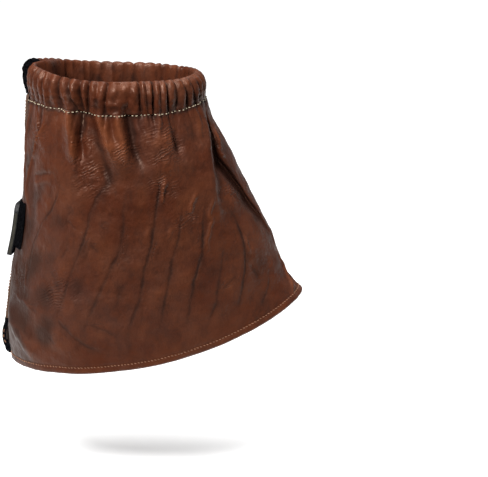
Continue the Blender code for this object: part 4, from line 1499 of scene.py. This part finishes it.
class GaiterSizes(PropertyGroup):
    """The gaiter's sizes and how shiny it is"""

    leather: length_property("Leather", "Thickness of the leather", 0.0015)
    turned_hem: length_property("Turned Hem", "Thickness of the leather where the hem is turned up", 0.003)
    hem_turn_height: length_property("Hem Seam Height", "Height of the hem's stitching over the hem", 0.0042)
    gather_depth: length_property("Gather Depth", "Depth of the casing's gathers", 0.0034)
    shine: FloatProperty(
        name="Roughness", description="Roughness of the leather's face", default=0.40, subtype="FACTOR"
    )
    seam_stitch: length_property("Seam Stitch", "Stitch length at the casing", 0.0030)
    hem_stitch: length_property("Hem Stitch", "Stitch length at the hem", 0.00215)
    thread: length_property("Thread", "Radius of the thread", 0.00032)
    tab: length_property("Tab", "Thickness of the closing tab", 0.0030)
    tab_corner: length_property("Tab Corner", "Radius of the tab's free corners", 0.005)
    pile_step: length_property("Pile Step", "Distance between loops or hooks", 0.0012)


class GaiterColours(PropertyGroup):
    """The gaiter's colours and the floor's"""

    leather: colour_property("Leather", "The leather's main colour", RECORD_COLOURS["leather"])
    leather_deep: colour_property("Deep", "Darker stretches of the leather", (0.078, 0.018, 0.0070))
    # Rubbed crests. The same colour also serves as painted highlight on raised places and on the casing's
    # top.
    leather_rubbed_and_lit: colour_property("Rubbed", "Crests that are rubbed lighter", (0.165, 0.046, 0.017))
    # The dusty bloom, which also serves as painted sheen at the back edges.
    leather_bloom_and_sheen: colour_property("Bloom", "The dusty bloom on the hide", (0.068, 0.028, 0.021))
    # Dark veins, and painted shade in the depths of folds and valleys.
    leather_vein_and_shade: colour_property("Veins", "Dark veins and the depths of folds", (0.026, 0.011, 0.008))
    flesh: colour_property("Back", "The leather's napped back", (0.150, 0.085, 0.055))
    flesh_dark: colour_property("Back, Dark", "Darker nap of the back", (0.075, 0.038, 0.026))
    tab: colour_property("Tab", "The closing tab", RECORD_COLOURS["tab_leather"])
    tab_worn: colour_property("Tab, Worn", "Scuffs on the tab", (0.105, 0.098, 0.076))
    tape: colour_property("Tape", "Hook and loop tape", RECORD_COLOURS["tape"])
    casing_thread: colour_property("Casing Thread", "Thread at the casing", RECORD_COLOURS["casing_thread"])
    hem_thread: colour_property("Hem Thread", "Thread at the hem", RECORD_COLOURS["hem_thread"])
    floor: colour_property("Floor", "The floor under the gaiter", (0.97, 0.97, 0.97))


class GaiterOperator:
    """What the gaiter's operators share. Each one has a make, which adds its pieces."""

    bl_options = {"REGISTER", "UNDO"}

    def execute(self, context):
        """Adds the pieces in the sizes and colours that are set."""
        self.make(context.scene.gaiter_sizes, context.scene.gaiter_colours)
        return {"FINISHED"}


class GAITER_OT_leg_panel(GaiterOperator, Operator):
    """Adds the wrapped leather with its folds, veins and turned hem"""

    bl_idname = "gaiter.leg_panel"
    bl_label = "Leg Panel"

    def make(self, sizes, colours):
        turn, drop = panel_grid()
        out, rub, wrinkled = leather_relief(turn, drop, sizes)
        vein, vein_strength = vein_distance(turn, drop)
        outer = panel_point(turn, drop, out)
        in_turn, in_drop, in_out = thinned((turn, drop, out), PANEL_INNER_EVERY)
        inner = above_panel(in_turn, in_drop, in_out * MM - panel_thickness(in_drop, sizes))
        finishes = hide_finishes(colours, sizes)
        panel = add_shell("wrap_leather", outer, inner, finishes, PANEL_INNER_EVERY, sharp=80.0)
        # The dusty bloom, with painted sheen at the back edges and over the lower back.
        bloom = np.clip(BLOOM_EVERYWHERE + spots(BLOOM_AND_SHEEN, turn, drop), 0.0, 1.0)
        paint(panel, "rub", rub)
        paint(panel, "wrinkled", wrinkled)
        paint(panel, "vein", vein)
        paint(panel, "vein_strength", vein_strength)
        paint(panel, "bloom", bloom)
        settle(panel, "leather", "leg_panel")


class GAITER_OT_casing(GaiterOperator, Operator):
    """Adds the top of the leather, turned down over its elastic and gathered"""

    bl_idname = "gaiter.casing"
    bl_label = "Gathered Casing"

    def make(self, sizes, colours):
        every = SMALL_INNER_EVERY
        columns = every * round((UNDER_END_TURN - LAP_EDGE_TURN) / CASING_COLUMN_TURN / every)
        turns = np.linspace(UNDER_END_TURN, LAP_EDGE_TURN, columns + 1)
        turn, way = np.meshgrid(turns, np.linspace(1.0, 0.0, CASING_WAY_POINTS))
        outer, rub = casing_skin(turn, way, sizes, 0.0)
        inner, _ = casing_skin(*thinned((turn, way), every), sizes, -CASING_LEATHER)
        casing = add_shell("gathered_casing", outer, inner, hide_finishes(colours, sizes), every)
        paint(casing, "rub", rub)
        settle(casing, "leather", "elastic_casing")


class GAITER_OT_tab(GaiterOperator, Operator):
    """Adds the stiff tab that closes the lap"""

    bl_idname = "gaiter.tab"
    bl_label = "Closing Tab"

    def make(self, sizes, colours):
        turns = [*np.linspace(TAB_SEWN_TURN, TAB_FREE_TURN, TAB_COLUMNS), TAB_FREE_TURN]
        turn, share = np.meshgrid(turns, np.linspace(0.0, 1.0, TAB_ROWS))
        from_free = (turn - TAB_FREE_TURN) * GIRTH_PER_TURN * MM
        corner = sizes.tab_corner
        in_corner = np.clip(corner - from_free, 0.0, None)
        short = corner - np.sqrt(np.clip(corner**2 - in_corner**2, 0.0, None))
        head = TAB_HEAD_DROP + short / MM / PANEL_HEIGHT
        foot = TAB_FOOT_DROP - TAB_FOOT_ROUND * short / MM / PANEL_HEIGHT
        drop = head + share * (foot - head)
        lift = tab_lift(turn, drop)
        from_sides = np.minimum(share, 1.0 - share) * (TAB_FOOT_DROP - TAB_HEAD_DROP) * PANEL_HEIGHT
        rim = np.minimum(from_sides, from_free / MM)
        rim[1:-1, -1] = TAB_CUT_RIM
        thickness = sizes.tab - TAB_EDGE_ROUND * np.exp(-rim / TAB_EDGE_REACH)
        thickness[:, -1] = TAB_END_SHARE * sizes.tab
        outer = above_panel(turn, drop, lift + thickness)
        inner = above_panel(*thinned((turn, drop, lift), SMALL_INNER_EVERY))
        finish = made_once("tab_coat", tab_finish, colours)
        tab = add_shell("tab_flap", outer, inner, [finish], SMALL_INNER_EVERY)
        paint(tab, "rim", rim)
        settle(tab, "tab_leather", "closure_tab")


class GAITER_OT_loop_tapes(GaiterOperator, Operator):
    """Adds the loop tapes on the leather's under end"""

    bl_idname = "gaiter.loop_tapes"
    bl_label = "Loop Tapes"

    def make(self, sizes, colours):
        for name, head, foot, from_turn, to_turn in LOOP_TAPES[1:]:
            turns, drops = (from_turn, to_turn), (head, foot)
            add_tape(name, above_panel, turns, drops, CLEARANCE, "loops", sizes, colours)
        start = max(column_values(CASING_WAY, "out")) * MM + CASING_TAPE_GAP
        turns, ups = LOOP_TOP_TURNS, CASING_TAPE_HEIGHTS
        add_tape("loop_patch_top", casing_tape_point, turns, ups, start, "loops", sizes, colours)


class GAITER_OT_hook_tapes(GaiterOperator, Operator):
    """Adds the hook tapes behind the lap, the casing's end and the tab"""

    bl_idname = "gaiter.hook_tapes"
    bl_label = "Hook Tapes"

    def make(self, sizes, colours):
        for name, head, foot, from_turn, to_turn in HOOK_TAPES[1:]:
            turns, drops, start = (from_turn, to_turn), (head, foot), -sizes.leather - CLEARANCE
            add_tape(name, above_panel, turns, drops, start, "hooks", sizes, colours)
        start = min(column_values(CASING_WAY, "out")) * MM - CASING_TAPE_GAP
        turns, ups = HOOK_TOP_TURNS, CASING_TAPE_HEIGHTS
        add_tape("hook_patch_top", casing_tape_point, turns, ups, start, "hooks", sizes, colours)
        head_short, foot_short = TAB_HOOKS_SHORT
        turns = (LAP_EDGE_TURN - TAB_HOOKS_FROM_LAP, TAB_FREE_TURN)
        drops = (TAB_HEAD_DROP + head_short, TAB_FOOT_DROP - foot_short)
        add_tape("hook_patch_tab", tab_tape_point, turns, drops, -CLEARANCE, "hooks", sizes, colours)


class GAITER_OT_end_tapes(GaiterOperator, Operator):
    """Adds the black tapes that are folded round the lap's end, which also stand for the shade over it"""

    bl_idname = "gaiter.end_tapes"
    bl_label = "End Tapes"

    def make(self, sizes, colours):
        finish = made_once("tape_hooks", tape_finish, colours.tape)
        inner, outer = (heel_band_face(lift, sizes) for lift in BAND_LIFTS)
        settle(add_shell("heel_end_band", outer, inner, [finish]), "tape")
        across = np.full(HEEL_STITCH_POINTS, HEEL_STITCHES_ACROSS)
        down = np.linspace(*HEEL_STITCHES_DOWN, HEEL_STITCH_POINTS)
        places, ways, _ = on_grid(outer, across, down, 1)
        tan = made_once("tan_thread", thread_finish, colours.hem_thread, TAN_DARK)
        stitches = add_stitches(
            "heel_end_stitches", places, ways, HEEL_STITCH, sizes.thread, tan, HEEL_STITCH_SHOWN
        )
        settle(stitches, "hem_thread")
        inner, outer = (casing_band_face(*both, sizes) for both in zip(BAND_LIFTS, BAND_BEYOND))
        settle(add_shell("casing_end_band", outer, inner, [finish]), "tape")
        # The cap is a black sheet over the casing's cut end, which also stands for the shade there.
        inner, outer = (casing_cap_face(beyond, sizes) for beyond in BAND_BEYOND)
        settle(add_shell("casing_end_cap", outer, inner, [finish]), "tape")


class GAITER_OT_stitching(GaiterOperator, Operator):
    """Adds the casing's cream stitches and the tan ones along the hem and the lap"""

    bl_idname = "gaiter.stitching"
    bl_label = "Stitching"

    def make(self, sizes, colours):
        cream = made_once("cream_thread", thread_finish, colours.casing_thread, CREAM_DARK)
        tan = made_once("tan_thread", thread_finish, colours.hem_thread, TAN_DARK)
        turn = np.linspace(UNDER_END_TURN - SEAM_ENDS, LAP_EDGE_TURN + SEAM_ENDS, SEAM_POINTS)
        seam_drop = SEAM_STITCH_DROP + uneven("seam_waver", turn, 0.0 * turn)
        line = skin_line(turn, seam_drop, sizes, SEAM_STITCH_LIFT)
        seam = add_stitches(
            "casing_stitches", *line, sizes.seam_stitch, sizes.thread, cream, SEAM_STITCH_SHOWN
        )
        settle(seam, "casing_thread")
        hem_drop = 1.0 - sizes.hem_turn_height / MM / PANEL_HEIGHT
        line = skin_line(turn, np.full_like(turn, hem_drop), sizes, HEM_STITCH_LIFT)
        hem = add_stitches(
            "hem_stitches", *line, sizes.hem_stitch, sizes.thread, tan, HEM_STITCH_SHOWN, HEM_STITCH_SLANT
        )
        settle(hem, "hem_thread")
        drop = np.linspace(LAP_STITCHES_HEAD, HEEL_BAND_DROPS[0], LAP_POINTS)
        line = skin_line(np.full_like(drop, LAP_EDGE_TURN + LAP_STITCHES_IN), drop, sizes, HEM_STITCH_LIFT)
        lap = add_stitches("lap_stitches", *line, sizes.hem_stitch, sizes.thread, tan, LAP_STITCH_SHOWN)
        settle(lap, "hem_thread")


class GAITER_OT_stage(GaiterOperator, Operator):
    """Adds the pale floor, the soft lights and the camera"""

    bl_idname = "gaiter.stage"
    bl_label = "Stage"

    def make(self, sizes, colours):
        add_floor(colours)
        for name, place, size, power in LAMPS[1:]:
            light = bpy.data.lights.new(name, "AREA")
            light.size, light.energy = size, power
            add_lamp(light, place)
        sky = bpy.data.lights.new("sky_light", "SUN")
        sky.energy, sky.angle = SKY_POWER, math.radians(SKY_SPREAD)
        add_lamp(sky, SKY_PLACE)
        world = bpy.data.worlds.new("studio")
        world.use_nodes = True
        background = world.node_tree.nodes["Background"]
        set_inputs(world.node_tree, background, {"Color": WHITE, "Strength": STUDIO_GLOW})
        bpy.context.scene.world = world
        bpy.context.scene.view_settings.view_transform = "Standard"
        add_camera()


class GAITER_PT_maker(Panel):
    """Lists the gaiter's sizes, colours and operators"""

    bl_idname = "GAITER_PT_maker"
    bl_label = "Leather Gaiter"
    bl_space_type = "VIEW_3D"
    bl_region_type = "UI"
    bl_category = "Gaiter"

    def draw(self, context):
        """Shows one box for the sizes, one for the colours, and a button for each operator."""
        for group in (context.scene.gaiter_sizes, context.scene.gaiter_colours):
            box = self.layout.box()
            for name in group.__annotations__:
                box.prop(group, name)
        for operator in OPERATORS:
            self.layout.operator(operator.bl_idname)


OPERATORS = (
    GAITER_OT_casing,
    GAITER_OT_leg_panel,
    GAITER_OT_tab,
    GAITER_OT_loop_tapes,
    GAITER_OT_hook_tapes,
    GAITER_OT_end_tapes,
    GAITER_OT_stitching,
    GAITER_OT_stage,
)
CLASSES = (GaiterSizes, GaiterColours, *OPERATORS, GAITER_PT_maker)


def register():
    """Makes the gaiter's sizes, colours, operators and panel known to Blender."""
    for item in CLASSES:
        bpy.utils.register_class(item)
    bpy.types.Scene.gaiter_sizes = PointerProperty(type=GaiterSizes)
    bpy.types.Scene.gaiter_colours = PointerProperty(type=GaiterColours)


def unregister():
    """Takes them out again."""
    del bpy.types.Scene.gaiter_colours
    del bpy.types.Scene.gaiter_sizes
    for item in reversed(CLASSES):
        bpy.utils.unregister_class(item)


def main():
    """Makes every piece and the stage."""
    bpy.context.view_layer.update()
    register()
    for operator in OPERATORS:
        getattr(bpy.ops.gaiter, operator.bl_idname.split(".")[1])()


if __name__ == "__main__":
    main()
